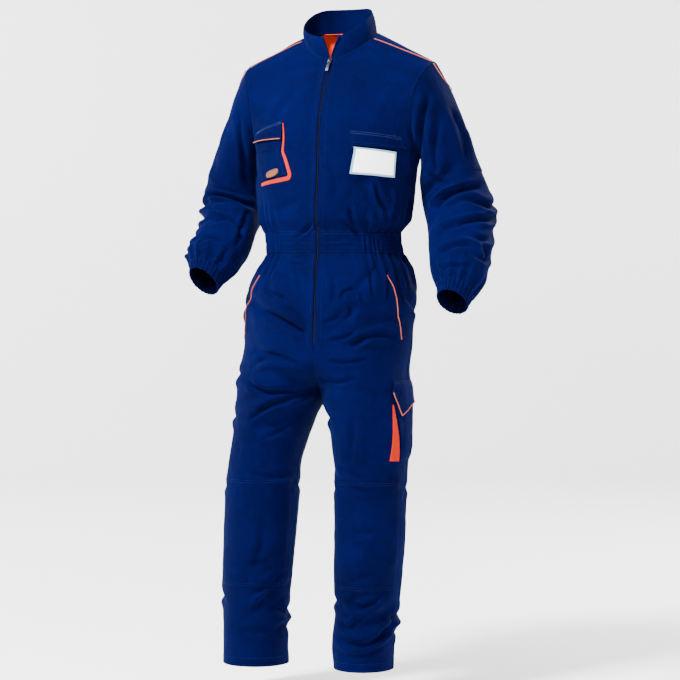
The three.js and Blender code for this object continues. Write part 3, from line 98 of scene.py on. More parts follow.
LEG = {
  "left": [
    dict(z=-870, x=75, y=-22, side=109, front=128, back=121),
    dict(z=-943, x=87, y=-29, side=100, front=112, back=107),
    dict(z=-1002, x=92, y=-33, side=97, front=102, back=98),
    dict(z=-1061, x=91, y=-36, side=90, front=95, back=92),
    dict(z=-1150, x=91, y=-39, side=87, front=91, back=88),
    dict(z=-1239, x=90, y=-40, side=86, front=89, back=87),
    dict(z=-1327, x=85, y=-39, side=83, front=87, back=85),
    dict(z=-1416, x=80, y=-36, side=77, front=84, back=82),
    dict(z=-1504, x=71, y=-34, side=76, front=82, back=80),
    dict(z=-1548, x=72, y=-34, side=73, front=80, back=78),
  ],
  "right": [
    dict(z=-870, x=-143.5, y=-22, side=109.5, front=128, back=121),
    dict(z=-943, x=-159, y=-29, side=100, front=112, back=107),
    dict(z=-1002, x=-173, y=-33, side=93, front=102, back=98),
    dict(z=-1061, x=-184, y=-36, side=90, front=95, back=92),
    dict(z=-1150, x=-189, y=-39, side=91, front=92, back=89),
    dict(z=-1239, x=-195, y=-40, side=90, front=90, back=87),
    dict(z=-1327, x=-201, y=-39, side=87, front=88, back=86),
    dict(z=-1416, x=-207, y=-36, side=82, front=85, back=83),
    dict(z=-1504, x=-209, y=-34, side=81, front=83, back=81),
    dict(z=-1548, x=-208, y=-34, side=82, front=82, back=80),
  ],
}
SLEEVE = {
  "left": [
    dict(at=0, outX=243, outZ=-78, inX=208, inZ=-292, y=5, front=88, back=88, pitch=0, hollow=20),
    dict(at=1, outX=272, outZ=-132, inX=211, inZ=-315, y=8, front=84, back=86, pitch=0, hollow=7),
    dict(at=2, outX=306, outZ=-214, inX=208, inZ=-338, y=14, front=78, back=82, pitch=0, hollow=0),
    dict(at=3, outX=336, outZ=-305, inX=202, inZ=-368, y=20, front=75, back=80, pitch=3, hollow=0),
    dict(at=4, outX=367, outZ=-378, inX=203, inZ=-402, y=24, front=76, back=80, pitch=10, hollow=0),
    dict(at=5, outX=384, outZ=-425, inX=210, inZ=-436, y=18, front=74, back=78, pitch=22, hollow=0),
    dict(at=6, outX=390, outZ=-475, inX=226, inZ=-476, y=-14, front=70, back=72, pitch=34, hollow=0),
    dict(at=7, outX=397, outZ=-532, inX=243, inZ=-526, y=-60, front=67, back=66, pitch=38, hollow=0),
    dict(at=8, outX=396, outZ=-590, inX=262, inZ=-578, y=-107, front=60, back=58, pitch=42, hollow=0),
    dict(at=9, outX=376, outZ=-634, inX=288, inZ=-622, y=-146, front=43, back=42, pitch=46, hollow=0),
    dict(at=10, outX=367, outZ=-662, inX=295, inZ=-650, y=-172, front=38, back=38, pitch=48, hollow=0),
  ],
  "right": [
    dict(at=0, outX=240, outZ=-78, inX=208, inZ=-292, y=5, front=88, back=88, pitch=0, hollow=20),
    dict(at=1, outX=268, outZ=-132, inX=214, inZ=-315, y=10, front=83, back=86, pitch=0, hollow=7),
    dict(at=2, outX=300, outZ=-214, inX=216, inZ=-338, y=18, front=77, back=82, pitch=0, hollow=0),
    dict(at=3, outX=338, outZ=-305, inX=216, inZ=-368, y=26, front=75, back=80, pitch=4, hollow=0),
    dict(at=4, outX=366, outZ=-374, inX=216, inZ=-402, y=30, front=76, back=80, pitch=12, hollow=0),
    dict(at=5, outX=366, outZ=-418, inX=216, inZ=-436, y=20, front=74, back=78, pitch=26, hollow=0),
    dict(at=6, outX=354, outZ=-460, inX=216, inZ=-474, y=-18, front=70, back=72, pitch=40, hollow=0),
    dict(at=7, outX=353, outZ=-502, inX=215, inZ=-514, y=-60, front=67, back=66, pitch=47, hollow=0),
    dict(at=8, outX=361, outZ=-544, inX=226, inZ=-558, y=-104, front=61, back=58, pitch=50, hollow=0),
    dict(at=9, outX=340, outZ=-572, inX=250, inZ=-594, y=-140, front=43, back=42, pitch=52, hollow=0),
    dict(at=10, outX=331, outZ=-594, inX=259, inZ=-618, y=-165, front=38, back=38, pitch=54, hollow=0),
  ],
}
FOLDS = {
  "trunk_left": [
    dict(a0=28, z0=-345, a1=52, z1=-448, wide=15, deep=-7),
    dict(a0=40, z0=-300, a1=62, z1=-420, wide=15, deep=-8),
    dict(a0=50, z0=-560, a1=24, z1=-640, wide=11, deep=-6),
    dict(a0=30, z0=-628, a1=48, z1=-672, wide=11, deep=-6),
    dict(a0=34, z0=-655, a1=8, z1=-735, wide=14, deep=-6),
    dict(a0=66, z0=-688, a1=30, z1=-722, wide=12, deep=-6),
  ],
  "trunk_right": [
    dict(a0=14, z0=-415, a1=34, z1=-438, wide=13, deep=-5),
    dict(a0=50, z0=-565, a1=28, z1=-660, wide=11, deep=-5),
    dict(a0=62, z0=-640, a1=10, z1=-735, wide=14, deep=-9),
    dict(a0=44, z0=-560, a1=16, z1=-600, wide=9, deep=-4),
  ],
  "leg_front_left": [
    dict(a0=40, z0=-745, a1=-20, z1=-775, wide=14, deep=-6),
    dict(a0=30, z0=-1150, a1=-50, z1=-1090, wide=20, deep=-5),
    dict(a0=-60, z0=-1345, a1=30, z1=-1312, wide=15, deep=-6),
    dict(a0=-50, z0=-1398, a1=60, z1=-1340, wide=16, deep=-7),
    dict(a0=-10, z0=-1450, a1=80, z1=-1385, wide=14, deep=-6),
  ],
  "leg_front_right": [
    dict(a0=60, z0=-772, a1=-30, z1=-790, wide=14, deep=-7),
    dict(a0=70, z0=-808, a1=-40, z1=-848, wide=14, deep=-8),
    dict(a0=50, z0=-905, a1=-50, z1=-862, wide=15, deep=-8),
    dict(a0=20, z0=-985, a1=-70, z1=-905, wide=18, deep=-7),
    dict(a0=10, z0=-1330, a1=-70, z1=-1290, wide=18, deep=-5),
    dict(a0=20, z0=-1450, a1=-70, z1=-1370, wide=18, deep=-5),
  ],
  "leg_back_left": [
    dict(a0=60, z0=-905, a1=-20, z1=-880, wide=16, deep=-7),
    dict(a0=40, z0=-1130, a1=-60, z1=-1090, wide=18, deep=-6),
    dict(a0=-40, z0=-1175, a1=50, z1=-1150, wide=18, deep=-6),
  ],
  "leg_back_right": [
    dict(a0=60, z0=-910, a1=-20, z1=-885, wide=16, deep=-7),
    dict(a0=40, z0=-1120, a1=-60, z1=-1090, wide=18, deep=-6),
    dict(a0=-40, z0=-1170, a1=50, z1=-1145, wide=18, deep=-6),
  ],
  "back": [
    dict(a0=20, z0=-250, a1=70, z1=-330, wide=20, deep=-6),
    dict(a0=-20, z0=-260, a1=-70, z1=-340, wide=20, deep=-6),
    dict(a0=15, z0=-370, a1=45, z1=-440, wide=16, deep=-7),
    dict(a0=-15, z0=-380, a1=-50, z1=-440, wide=16, deep=-7),
    dict(a0=30, z0=-600, a1=8, z1=-700, wide=16, deep=-6),
    dict(a0=-30, z0=-600, a1=-8, z1=-710, wide=16, deep=-6),
  ],
}
SLEEVE_FOLDS = {
  "left": [
    dict(a0=130, t0=3.0, a1=20, t1=4.3, wide=15, deep=-10),
    dict(a0=160, t0=3.9, a1=60, t1=5.0, wide=13, deep=-8),
    dict(a0=110, t0=5.4, a1=20, t1=6.4, wide=14, deep=-8),
    dict(a0=130, t0=6.6, a1=40, t1=7.6, wide=13, deep=-6),
    dict(a0=80, t0=0.6, a1=60, t1=2.8, wide=15, deep=-8),
    dict(a0=230, t0=4.0, a1=320, t1=4.6, wide=15, deep=-6),
    dict(a0=250, t0=1.0, a1=300, t1=3.0, wide=16, deep=-6),
  ],
  "right": [
    dict(a0=175, t0=3.7, a1=40, t1=4.4, wide=13, deep=-9),
    dict(a0=60, t0=1.6, a1=40, t1=3.6, wide=14, deep=-7),
    dict(a0=150, t0=5.6, a1=40, t1=5.4, wide=12, deep=-8),
    dict(a0=160, t0=6.8, a1=50, t1=6.6, wide=12, deep=-7),
    dict(a0=150, t0=7.8, a1=60, t1=7.8, wide=10, deep=-6),
    dict(a0=230, t0=4.0, a1=320, t1=4.6, wide=15, deep=-6),
    dict(a0=250, t0=1.0, a1=300, t1=3.0, wide=16, deep=-6),
  ],
}
# Creases. The front's were placed over the photograph, the others in millimetres. Each runs
# along a curve through three places of a flat view of the suit.
# u is across that view and z is the height; wide and deep are its size, roll the ridge beside it
# and its side, and ease the share of its length over which it dies away.
CREASE_COLUMNS = ("on", "view", "u0", "z0", "u1", "z1", "u2", "z2", "wide", "deep", "roll", "ease")
CREASES = [dict(zip(CREASE_COLUMNS, row)) for row in (
    ("body", "front", 84, -366, 96, -414, 121, -450, 8, 8, 0.7, 0.3),
    ("body", "front", 24, -414, 34, -472, 63, -505, 7, 6, -0.6, 0.3),
    ("body", "front", -10, -464, 24, -477, 58, -520, 6, 4, -0.5, 0.3),
    ("body", "front", -203, -472, -178, -489, -135, -513, 6, 5, 0.5, 0.3),
    ("body", "front", -188, -443, -174, -472, -145, -505, 6, 4, 0.5, 0.3),
    ("body", "front", -217, -317, -215, -390, -210, -448, 9, 6, 0.5, 0.3),
    ("body", "front", -121, -510, -87, -489, -58, -460, 6, 4, 0.5, 0.3),
    ("body", "front", 186, -115, 178, -238, 174, -370, 10, 7, 0.5, 0.2),
    ("body", "front", -24, -527, 24, -522, 51, -539, 5, 3, 0.5, 0.35),
    ("body", "front", -130, -556, -104, -566, -70, -559, 5, 3, 0.5, 0.35),
    ("body", "front", 135, -375, 140, -414, 125, -460, 7, 5, 0.6, 0.3),
    ("body", "front", -96, -134, -135, -182, -174, -226, 13, 2.6, 0.4, 0.35),
    ("body", "front", 12, -105, 77, -134, 154, -182, 13, 2.6, -0.4, 0.35),
    ("body", "front", -24, -293, -14, -361, -5, -428, 14, 2.4, 0.4, 0.35),
    ("body", "front", -188, -619, -154, -641, -130, -650, 7, 6, 0.6, 0.3),
    ("body", "front", -193, -677, -133, -703, -77, -739, 11, 9.5, 0.6, 0.22),
    ("body", "front", -145, -665, -104, -689, -70, -720, 7, 5.5, 0.6, 0.3),
    ("body", "front", -219, -773, -181, -780, -130, -788, 8, 6.5, 0.6, 0.3),
    ("body", "front", -224, -814, -154, -792, -82, -819, 10, 8, 0.6, 0.22),
    ("body", "front", -224, -846, -174, -872, -70, -865, 8, 7, -0.6, 0.22),
    ("body", "front", -207, -923, -140, -896, -58, -870, 9, 8, 0.6, 0.22),
    ("body", "front", -227, -947, -193, -923, -154, -901, 7, 5, 0.6, 0.3),
    ("body", "front", -188, -983, -145, -969, -106, -930, 8, 5, 0.6, 0.3),
    ("body", "front", 51, -628, 14, -631, 5, -657, 6, 3, -0.6, 0.3),
    ("body", "front", 5, -655, 29, -682, -22, -708, 8, 2.5, 0.6, 0.3),
    ("body", "front", -55, -710, -12, -696, 19, -665, 8, 3, 0.6, 0.3),
    ("body", "front", 48, -633, 60, -660, 87, -674, 5.5, 3, 0.6, 0.3),
    ("body", "front", -39, -744, 2, -744, 51, -720, 6, 4, 0.6, 0.3),
    ("body", "front", 22, -771, 72, -739, 140, -744, 9, 7.5, 0.6, 0.25),
    ("body", "front", -46, -792, 12, -802, 87, -788, 6, 4.5, 0.6, 0.3),
    ("body", "front", -55, -821, -22, -848, 53, -836, 7, 4, 0.6, 0.3),
    ("body", "front", -219, -1063, -169, -1082, -101, -1070, 8, 4, 0.6, 0.3),
    ("body", "front", -219, -1369, -169, -1345, -128, -1309, 10, 6, 0.6, 0.3),
    ("body", "front", -215, -1420, -176, -1371, -135, -1340, 10, 6, -0.6, 0.3),
    ("body", "front", -270, -1282, -217, -1297, -145, -1272, 11, 3, 0.5, 0.35),
    ("body", "front", -265, -1475, -212, -1461, -140, -1475, 10, 3, 0.5, 0.35),
    ("body", "front", 0, -1084, 36, -1101, 89, -1125, 8, 3.5, 0.6, 0.3),
    ("body", "front", -5, -1046, 24, -1070, 63, -1084, 8, 4.5, 0.6, 0.3),
    ("body", "front", 22, -1369, 53, -1391, 111, -1354, 9, 7.5, 0.6, 0.25),
    ("body", "front", -2, -1417, 24, -1439, 53, -1400, 8, 6, -0.6, 0.3),
    ("body", "front", -14, -1461, 72, -1477, 140, -1405, 9, 8.5, 0.6, 0.2),
    ("body", "front", -2, -1516, 48, -1506, 123, -1475, 8, 4, 0.6, 0.3),
    ("body", "front", 2, -1186, 48, -1210, 125, -1195, 12, 3, 0.5, 0.35),
    ("body", "front", -198, -1137, -188, -1234, -217, -1318, 15, 3, 0.5, 0.35),
    ("body", "front", 36, -896, 29, -993, 24, -1065, 13, 3.5, 0.5, 0.35),
    ("body", "front", -188, -563, -198, -607, -207, -655, 6, 3, 0.5, 0.35),
    ("body", "front", -101, -563, -96, -616, -82, -655, 7, 3, 0.5, 0.35),
    ("body", "front", -24, -578, -14, -631, -24, -665, 7, 3, 0.5, 0.35),
    ("body", "front", 82, -563, 75, -612, 87, -655, 5, 3.5, 0.5, 0.35),
    ("body", "front", 106, -568, 116, -612, 111, -660, 5, 3.5, 0.5, 0.35),
    ("body", "front", 128, -568, 140, -616, 154, -679, 6, 4, 0.5, 0.35),
    ("sleeve_right", "front", -340, -390, -280, -395, -207, -428, 8, 9, 0.8, 0.2),
    ("sleeve_right", "front", -328, -464, -268, -457, -234, -505, 7, 6, 0.6, 0.25),
    ("sleeve_right", "front", -342, -431, -299, -426, -241, -462, 8, 5, 0.6, 0.3),
    ("sleeve_right", "front", -352, -518, -309, -503, -260, -530, 6, 6, 0.6, 0.25),
    ("sleeve_right", "front", -359, -542, -314, -546, -268, -573, 6, 5, 0.6, 0.25),
    ("sleeve_right", "front", -338, -563, -304, -573, -270, -592, 5, 4, 0.6, 0.3),
    ("sleeve_right", "front", -246, -173, -241, -264, -224, -332, 9, 5, 0.5, 0.3),
    ("sleeve_right", "front", -301, -221, -309, -293, -318, -356, 13, 3, 0.5, 0.35),
    ("sleeve_right", "front", -227, -426, -241, -477, -251, -525, 8, 5, 0.5, 0.3),
    ("sleeve_left", "front", 217, -144, 195, -238, 191, -337, 10, 8, 0.6, 0.22),
    ("sleeve_left", "front", 219, -445, 265, -397, 338, -380, 8.5, 9, -0.8, 0.2),
    ("sleeve_left", "front", 224, -505, 285, -469, 364, -462, 8, 8, -0.7, 0.22),
    ("sleeve_left", "front", 219, -559, 265, -525, 321, -527, 7, 6, -0.6, 0.25),
    ("sleeve_left", "front", 217, -590, 256, -573, 304, -578, 6, 5, -0.6, 0.25),
    ("sleeve_left", "front", 227, -621, 265, -616, 309, -602, 6, 4, -0.6, 0.3),
    ("sleeve_left", "front", 270, -161, 285, -245, 318, -346, 13, 3.5, 0.5, 0.35),
    ("sleeve_left", "front", 241, -197, 227, -293, 232, -380, 10, 5, 0.5, 0.3),
    ("sleeve_left", "front", 205, -337, 232, -366, 270, -375, 8, 5, 0.5, 0.3),
    ("sleeve_left", "front", 314, -501, 342, -534, 338, -587, 8, 4, 0.5, 0.35),
    ("body", "back", -150, -250, -110, -300, -50, -330, 15, 5, 0.6, 0.3),
    ("body", "back", 150, -240, 110, -300, 60, -340, 15, 5, -0.6, 0.3),
    ("body", "back", -60, -130, -70, -190, -110, -240, 16, 3.5, 0.5, 0.35),
    ("body", "back", 60, -140, 80, -200, 110, -250, 16, 3.5, 0.5, 0.35),
    ("body", "back", -20, -300, -10, -380, -40, -450, 12, 5, 0.6, 0.3),
    ("body", "back", 40, -320, 50, -390, 30, -455, 12, 5, 0.6, 0.3),
    ("body", "back", -110, -380, -120, -420, -100, -460, 10, 5, 0.6, 0.3),
    ("body", "back", 110, -370, 100, -420, 120, -460, 10, 5, -0.6, 0.3),
    ("body", "back", -150, -600, -90, -660, -30, -740, 13, 6, 0.6, 0.25),
    ("body", "back", 140, -610, 90, -680, 20, -750, 13, 6, -0.6, 0.25),
    ("body", "back", -60, -570, -50, -620, -70, -670, 9, 4, 0.5, 0.3),
    ("body", "back", 50, -570, 60, -630, 40, -690, 9, 4, 0.5, 0.3),
    ("body", "back", -40, -840, -90, -850, -190, -800, 12, 8, 0.6, 0.25),
    ("body", "back", -50, -880, -120, -900, -220, -870, 12, 7, 0.6, 0.25),
    ("body", "back", -30, -845, 40, -870, 140, -820, 12, 8, 0.6, 0.25),
    ("body", "back", 0, -890, 60, -910, 140, -880, 12, 7, 0.6, 0.25),
    ("body", "back", -250, -1120, -190, -1100, -130, -1130, 12, 4, 0.6, 0.25),
    ("body", "back", -250, -1165, -190, -1150, -140, -1175, 11, 6, -0.6, 0.25),
    ("body", "back", -245, -1210, -200, -1200, -150, -1185, 11, 4, 0.6, 0.3),
    ("body", "back", 30, -1130, 90, -1105, 150, -1125, 12, 4, 0.6, 0.25),
    ("body", "back", 30, -1170, 90, -1160, 150, -1180, 11, 6, -0.6, 0.25),
    ("body", "back", 35, -1225, 90, -1210, 140, -1190, 11, 4, 0.6, 0.3),
    ("body", "back", -270, -1400, -210, -1430, -160, -1410, 13, 5, 0.6, 0.3),
    ("body", "back", -270, -1480, -220, -1460, -160, -1490, 13, 5, -0.6, 0.3),
    ("body", "back", 20, -1420, 70, -1440, 130, -1400, 13, 5, 0.6, 0.3),
    ("body", "back", 15, -1500, 70, -1470, 130, -1490, 13, 5, -0.6, 0.3),
    ("body", "left", -60, -330, -20, -390, -40, -450, 12, 5, 0.6, 0.3),
    ("body", "left", 40, -320, 30, -390, 20, -460, 12, 4, 0.6, 0.3),
    ("body", "left", -80, -620, -30, -660, 40, -690, 12, 5, 0.6, 0.3),
    ("body", "left", -90, -1120, -40, -1100, 30, -1130, 12, 2.5, 0.6, 0.3),
    ("body", "left", -100, -1390, -40, -1420, 30, -1400, 12, 5, 0.6, 0.3),
    ("body", "left", -90, -1470, -40, -1450, 20, -1480, 12, 5, -0.6, 0.3),
    ("body", "right", -60, -330, -20, -380, -30, -450, 12, 5, 0.6, 0.3),
    ("body", "right", 40, -330, 20, -390, 30, -455, 12, 4, 0.6, 0.3),
    ("body", "right", -90, -640, -30, -680, 50, -700, 12, 5, 0.6, 0.3),
    ("body", "right", -100, -820, -40, -840, 40, -820, 13, 5, 0.6, 0.3),
    ("body", "right", -110, -960, -40, -930, 40, -950, 13, 5, 0.6, 0.3),
    ("body", "right", -100, -1130, -40, -1100, 30, -1130, 12, 2.5, 0.6, 0.3),
    ("body", "right", -100, -1400, -40, -1380, 30, -1410, 12, 5, 0.6, 0.3),
    ("sleeve_left", "left", -40, -180, -10, -240, -20, -320, 13, 5, 0.6, 0.3),
    ("sleeve_left", "left", -60, -400, 0, -430, 70, -400, 10, 8, 0.7, 0.22),
    ("sleeve_left", "left", -80, -450, -20, -460, 40, -430, 9, 7, 0.7, 0.25),
    ("sleeve_left", "left", -120, -490, -70, -510, 0, -480, 9, 6, 0.6, 0.25),
    ("sleeve_left", "left", -140, -540, -100, -560, -50, -540, 8, 5, 0.6, 0.3),
    ("sleeve_left", "back", 240, -150, 250, -230, 250, -300, 13, 5, 0.6, 0.3),
    ("sleeve_left", "back", 220, -400, 290, -420, 360, -400, 10, 7, 0.7, 0.25),
    ("sleeve_left", "back", 230, -450, 300, -470, 370, -440, 9, 6, 0.7, 0.25),
    ("sleeve_left", "back", 300, -200, 310, -260, 330, -320, 14, 4, 0.5, 0.35),
    ("sleeve_right", "right", -40, -180, -10, -240, -20, -320, 13, 5, 0.6, 0.3),
    ("sleeve_right", "right", -50, -390, 0, -420, 70, -400, 10, 8, 0.7, 0.22),
    ("sleeve_right", "right", -80, -440, -20, -450, 40, -430, 9, 7, 0.7, 0.25),
    ("sleeve_right", "right", -120, -480, -70, -500, 0, -470, 9, 6, 0.6, 0.25),
    ("sleeve_right", "right", -140, -520, -100, -540, -50, -520, 8, 5, 0.6, 0.3),
    ("sleeve_right", "back", -240, -150, -250, -230, -250, -300, 13, 5, 0.6, 0.3),
    ("sleeve_right", "back", -220, -395, -290, -420, -350, -400, 10, 7, 0.7, 0.25),
    ("sleeve_right", "back", -225, -440, -290, -460, -350, -440, 9, 6, 0.7, 0.25),
    ("sleeve_right", "back", -300, -200, -310, -260, -330, -320, 14, 4, 0.5, 0.35),
)]


def lerp(a, b, f):
    return a + (b - a) * f


def ramp(v, start, end):
    f = np.clip((np.asarray(v, float) - start) / (end - start), 0, 1)
    return f * f * (3 - 2 * f)


def bump(d, wide):
    return np.exp(-((d / wide) ** 2))


def vec(x, y, z):
    return np.stack(np.broadcast_arrays(x, y, z), axis=-1).astype(float)


def unit(v):
    return v / np.maximum(np.linalg.norm(v, axis=-1, keepdims=True), 1e-9)


def reader(table, key):
    """A smooth reading of a table of sections: cubic between rows, with slopes that never overshoot."""
    rows = sorted(table, key=lambda r: r[key])
    knots = np.array([r[key] for r in rows], float)
    values, slopes = {}, {}
    for name in rows[0]:
        y = np.array([r[name] for r in rows], float)
        steps = np.diff(y) / np.diff(knots)
        m = np.zeros(len(y))
        for i in range(1, len(y) - 1):
            a, b = steps[i - 1], steps[i]
            m[i] = 0 if a * b <= 0 else 2 * a * b / (a + b)
        values[name], slopes[name] = y, m

    def read(at):
        v = np.clip(np.asarray(at, float), knots[0], knots[-1])
        i = np.clip(np.searchsorted(knots, v, side="right") - 1, 0, len(knots) - 2)
        h = knots[i + 1] - knots[i]
        f = (v - knots[i]) / h
        made = {}
        for name, y in values.items():
            m = slopes[name]
            start = y[i] * (1 + 2 * f) * (1 - f) ** 2 + m[i] * h * f * (1 - f) ** 2
            made[name] = start + y[i + 1] * f * f * (3 - 2 * f) + m[i + 1] * h * f * f * (f - 1)
        return made

    return read


trunk_at = reader(TRUNK, "z")
leg_at = {side: reader(LEG[side], "z") for side in SIDES}
sleeve_at = {side: reader(SLEEVE[side], "at") for side in SIDES}


def neck_point(side, degrees):
    a = np.radians(degrees)
    depth = np.where(np.cos(a) > 0, NECK["front"], NECK["back"])
    low = ((1 + np.cos(a)) / 2) ** NECK["curve"]
    return vec(
        NECK["x"] * np.cos(a) + SIGN[side] * NECK["side"] * np.sin(a),
        NECK["y"] - depth * np.cos(a),
        lerp(NECK_Z_BACK, NECK_Z_FRONT, low),
    )


def sleeve_point(side, at, degrees):
    """0 degrees at the armpit, 90 in front, 180 on the shoulder, 270 behind."""
    r = sleeve_at[side](at)
    a, p = np.radians(degrees), np.radians(r["pitch"])
    depth = np.where(np.sin(a) > 0, r["front"], r["back"]) * np.sin(a)
    x = (r["outX"] + r["inX"]) / 2 - np.cos(a) * (r["outX"] - r["inX"]) / 2
    z = (r["outZ"] + r["inZ"]) / 2 - np.cos(a) * (r["outZ"] - r["inZ"]) / 2
    x = x - r["hollow"] * np.sin(a) ** 2
    return vec(SIGN[side] * x, r["y"] - np.cos(p) * depth, z + np.sin(p) * depth)


def sleeve_middle(side, at):
    r = sleeve_at[side](at)
    return vec(SIGN[side] * (r["outX"] + r["inX"]) / 2, r["y"], (r["outZ"] + r["inZ"]) / 2)


def fold_depth(folds, u, v, place):
    total = np.zeros(np.broadcast(u, v).shape)
    for fold in folds:
        (u0, v0), (u1, v1) = place(fold, 0), place(fold, 1)
        length = math.hypot(u1 - u0, v1 - v0)
        along = ((u - u0) * (u1 - u0) + (v - v0) * (v1 - v0)) / length**2
        away = ((u - u0) * (v1 - v0) - (v - v0) * (u1 - u0)) / length
        taper = ramp(along, -0.12, 0.25) * ramp(along, 1.12, 0.75)
        total = total + fold["deep"] * taper * bump(away, fold["wide"])
    return total


def ring_fold(folds, degrees, z, radius):
    place = lambda fold, end: (math.radians(fold[f"a{end}"]) * radius, fold[f"z{end}"])
    return fold_depth(folds, np.radians(degrees) * radius, z, place)


def sleeve_fold(side, degrees, at):
    place = lambda fold, end: (math.radians(fold[f"a{end}"]) * SLEEVE_RADIUS, fold[f"t{end}"] * SLEEVE_STEP)
    return fold_depth(SLEEVE_FOLDS[side], np.radians(degrees) * SLEEVE_RADIUS, at * SLEEVE_STEP, place)


def outward(p, x, y):
    return unit(vec(p[..., 0] - x, p[..., 1] - y, 0 * p[..., 0]))


HALF = {
    "front": dict(facing=-1, depth="front", x="front_x", corner=118, end=165, neck_end=70, flat=40,
                  top=NECK_Z_FRONT, slump=16),
    "back": dict(facing=1, depth="back", x="back_x", corner=96, end=125, neck_end=128, flat=45,
                 top=NECK_Z_BACK, slump=30),
}


def row_height(part, r):
    """A row at or below the armpit is a height. Above it, r - ARMPIT_Z is an angle on the armhole."""
    half = HALF[part]
    arm = np.clip(r - ARMPIT_Z, 0, 180)
    rise = (1 - np.cos(np.radians(arm))) / (1 - math.cos(math.radians(half["corner"])))
    return np.where(r <= ARMPIT_Z, r, lerp(ARMPIT_Z, half["top"], rise))


def row_at_height(part, z):
    half = HALF[part]
    rise = np.clip((z - ARMPIT_Z) / (half["top"] - ARMPIT_Z), 0, 2)
    cosine = np.clip(1 - rise * (1 - math.cos(math.radians(half["corner"]))), -1, 1)
    return np.where(np.asarray(z) <= ARMPIT_Z, z, ARMPIT_Z + np.degrees(np.arccos(cosine)))


def bodice_point(part, side, r, share):
    """A place on the front or back above the waistband, and the way outwards there."""
    r, share = np.broadcast_arrays(np.asarray(r, float), np.asarray(share, float))
    half = HALF[part]
    z = row_height(part, r)
    t = trunk_at(z)
    degrees = 90 * share if part == "front" else SIGN[side] * 90 * share
    folds = FOLDS[f"trunk_{side}"] if part == "front" else FOLDS["back"]
    fold = ring_fold(folds, degrees, z, TRUNK_RADIUS)
    middle = vec(t[half["x"]], t["y"] + half["facing"] * t[half["depth"]], z)
    arm = np.clip(r - ARMPIT_Z, 0, 180)
    low = (r <= ARMPIT_Z)[..., None]
    sleeve = sleeve_point(side, 0, arm if part == "front" else 360 - arm)
    neck_share = (arm - half["corner"]) / (half["end"] - half["corner"])
    neck = neck_point(side, lerp(0 if part == "front" else 180, half["neck_end"], neck_share))
    start = np.where((neck_share <= 0)[..., None] | low, middle, neck)
    end = np.where(low, vec(t[side], t["y"], z), sleeve)
    sweep = np.where(low[..., 0], 90, lerp(90, half["flat"], ramp(arm, 0, 110)))
    a = np.radians(sweep)
    across = (np.sin(share * a) / np.sin(a))[..., None]
    deep = ((1 - np.cos(share * a)) / (1 - np.cos(a)))[..., None]
    p = np.concatenate([lerp(start, end, across)[..., :1], lerp(start, end, deep)[..., 1:]], axis=-1)
    slump = half["slump"] * np.sin(np.pi * share) * ramp(arm, half["corner"] - 45, half["end"])
    p[..., 2] -= np.where(low[..., 0], 0, slump)
    fold = fold * np.where(low[..., 0], 1, ramp(share, 1, 0.75))
    way = outward(p, t[half["x"]], t["y"])
    return p + way * fold[..., None], way


def yoke_point(side, over, share):
    over, share = np.broadcast_arrays(np.asarray(over, float), np.asarray(share, float))
    top = {"front": ARMPIT_Z + 165, "back": ARMPIT_Z + 125}
    edge = {part: bodice_point(part, side, top[part] + 0 * share, share)[0] for part in top}
    start = {part: bodice_point(part, side, top[part] + 0 * share, 0 * share)[0] for part in top}
    end = {part: bodice_point(part, side, top[part] + 0 * share, 1 + 0 * share)[0] for part in top}
    neck = neck_point(side, lerp(YOKE["neck_front"], YOKE["neck_back"], over))
    arm = sleeve_point(side, 0, lerp(YOKE["arm_front"], YOKE["arm_back"], over))
    f, s = over[..., None], share[..., None]
    p = lerp(edge["front"], edge["back"], f)
    p = p + (neck - lerp(start["front"], start["back"], f)) * (1 - s)
    p = p + (arm - lerp(end["front"], end["back"], f)) * s
    p[..., 2] += YOKE_CROWN * np.sin(np.pi * over) * np.sin(np.pi * share)
    return p, unit(vec(0.3 * SIGN[side], 0, 1) + 0 * p)


def trouser_point(part, side, z, share):
    z, share = np.broadcast_arrays(np.asarray(z, float), np.asarray(share, float))
    sign, half = SIGN[side], HALF[part]
    t, leg = trunk_at(z), leg_at[side](z)
    rise = FRONT_RISE if part == "front" else BACK_RISE
    turned = np.clip((z - rise) / (FORK_Z - rise), 0, 1) ** RISE_CURVE
    s = np.sin(np.pi / 2 * turned)
    w = 2 * s / (1 + s)
    whole = np.abs(t[side] - t[half["x"]])
    up = z >= FORK_Z
    x = np.where(up, t[half["x"]] + sign * w * whole / 2, leg["x"])
    wide = np.where(up, whole * (1 - w / 2), leg["side"])
    y = np.where(up, t["y"], leg["y"])
    depth = np.where(up, t[half["depth"]], leg[half["depth"]])
    degrees = lerp(np.where(up, -90 * turned, -90), 90, share)
    a = np.radians(degrees)
    p = vec(x + sign * wide * np.sin(a), y + half["facing"] * depth * np.cos(a), z)
    fold = ring_fold(FOLDS[f"leg_{part}_{side}"], degrees, z, LEG_RADIUS) * ramp(share, 0, 0.12)
    if part == "front":
        fold = fold + ring_fold(FOLDS[f"trunk_{side}"], degrees, z, TRUNK_RADIUS) * ramp(z, -800, -730)
    else:
        fold = fold + ring_fold(FOLDS["back"], sign * degrees, z, TRUNK_RADIUS) * ramp(z, -800, -730)
    way = outward(p, x, y)
    return p + way * (fold * ramp(share, 1, 0.88))[..., None], way


def sleeve_surface(side, at, share):
    at, share = np.broadcast_arrays(np.asarray(at, float), np.asarray(share, float))
    p = sleeve_point(side, at, share * 360)
    way = unit(p - sleeve_middle(side, at))
    fold = sleeve_fold(side, share * 360, at) * ramp(at, 0.1, 0.8) * ramp(at, 9, 8.2)
    return p + way * fold[..., None], way


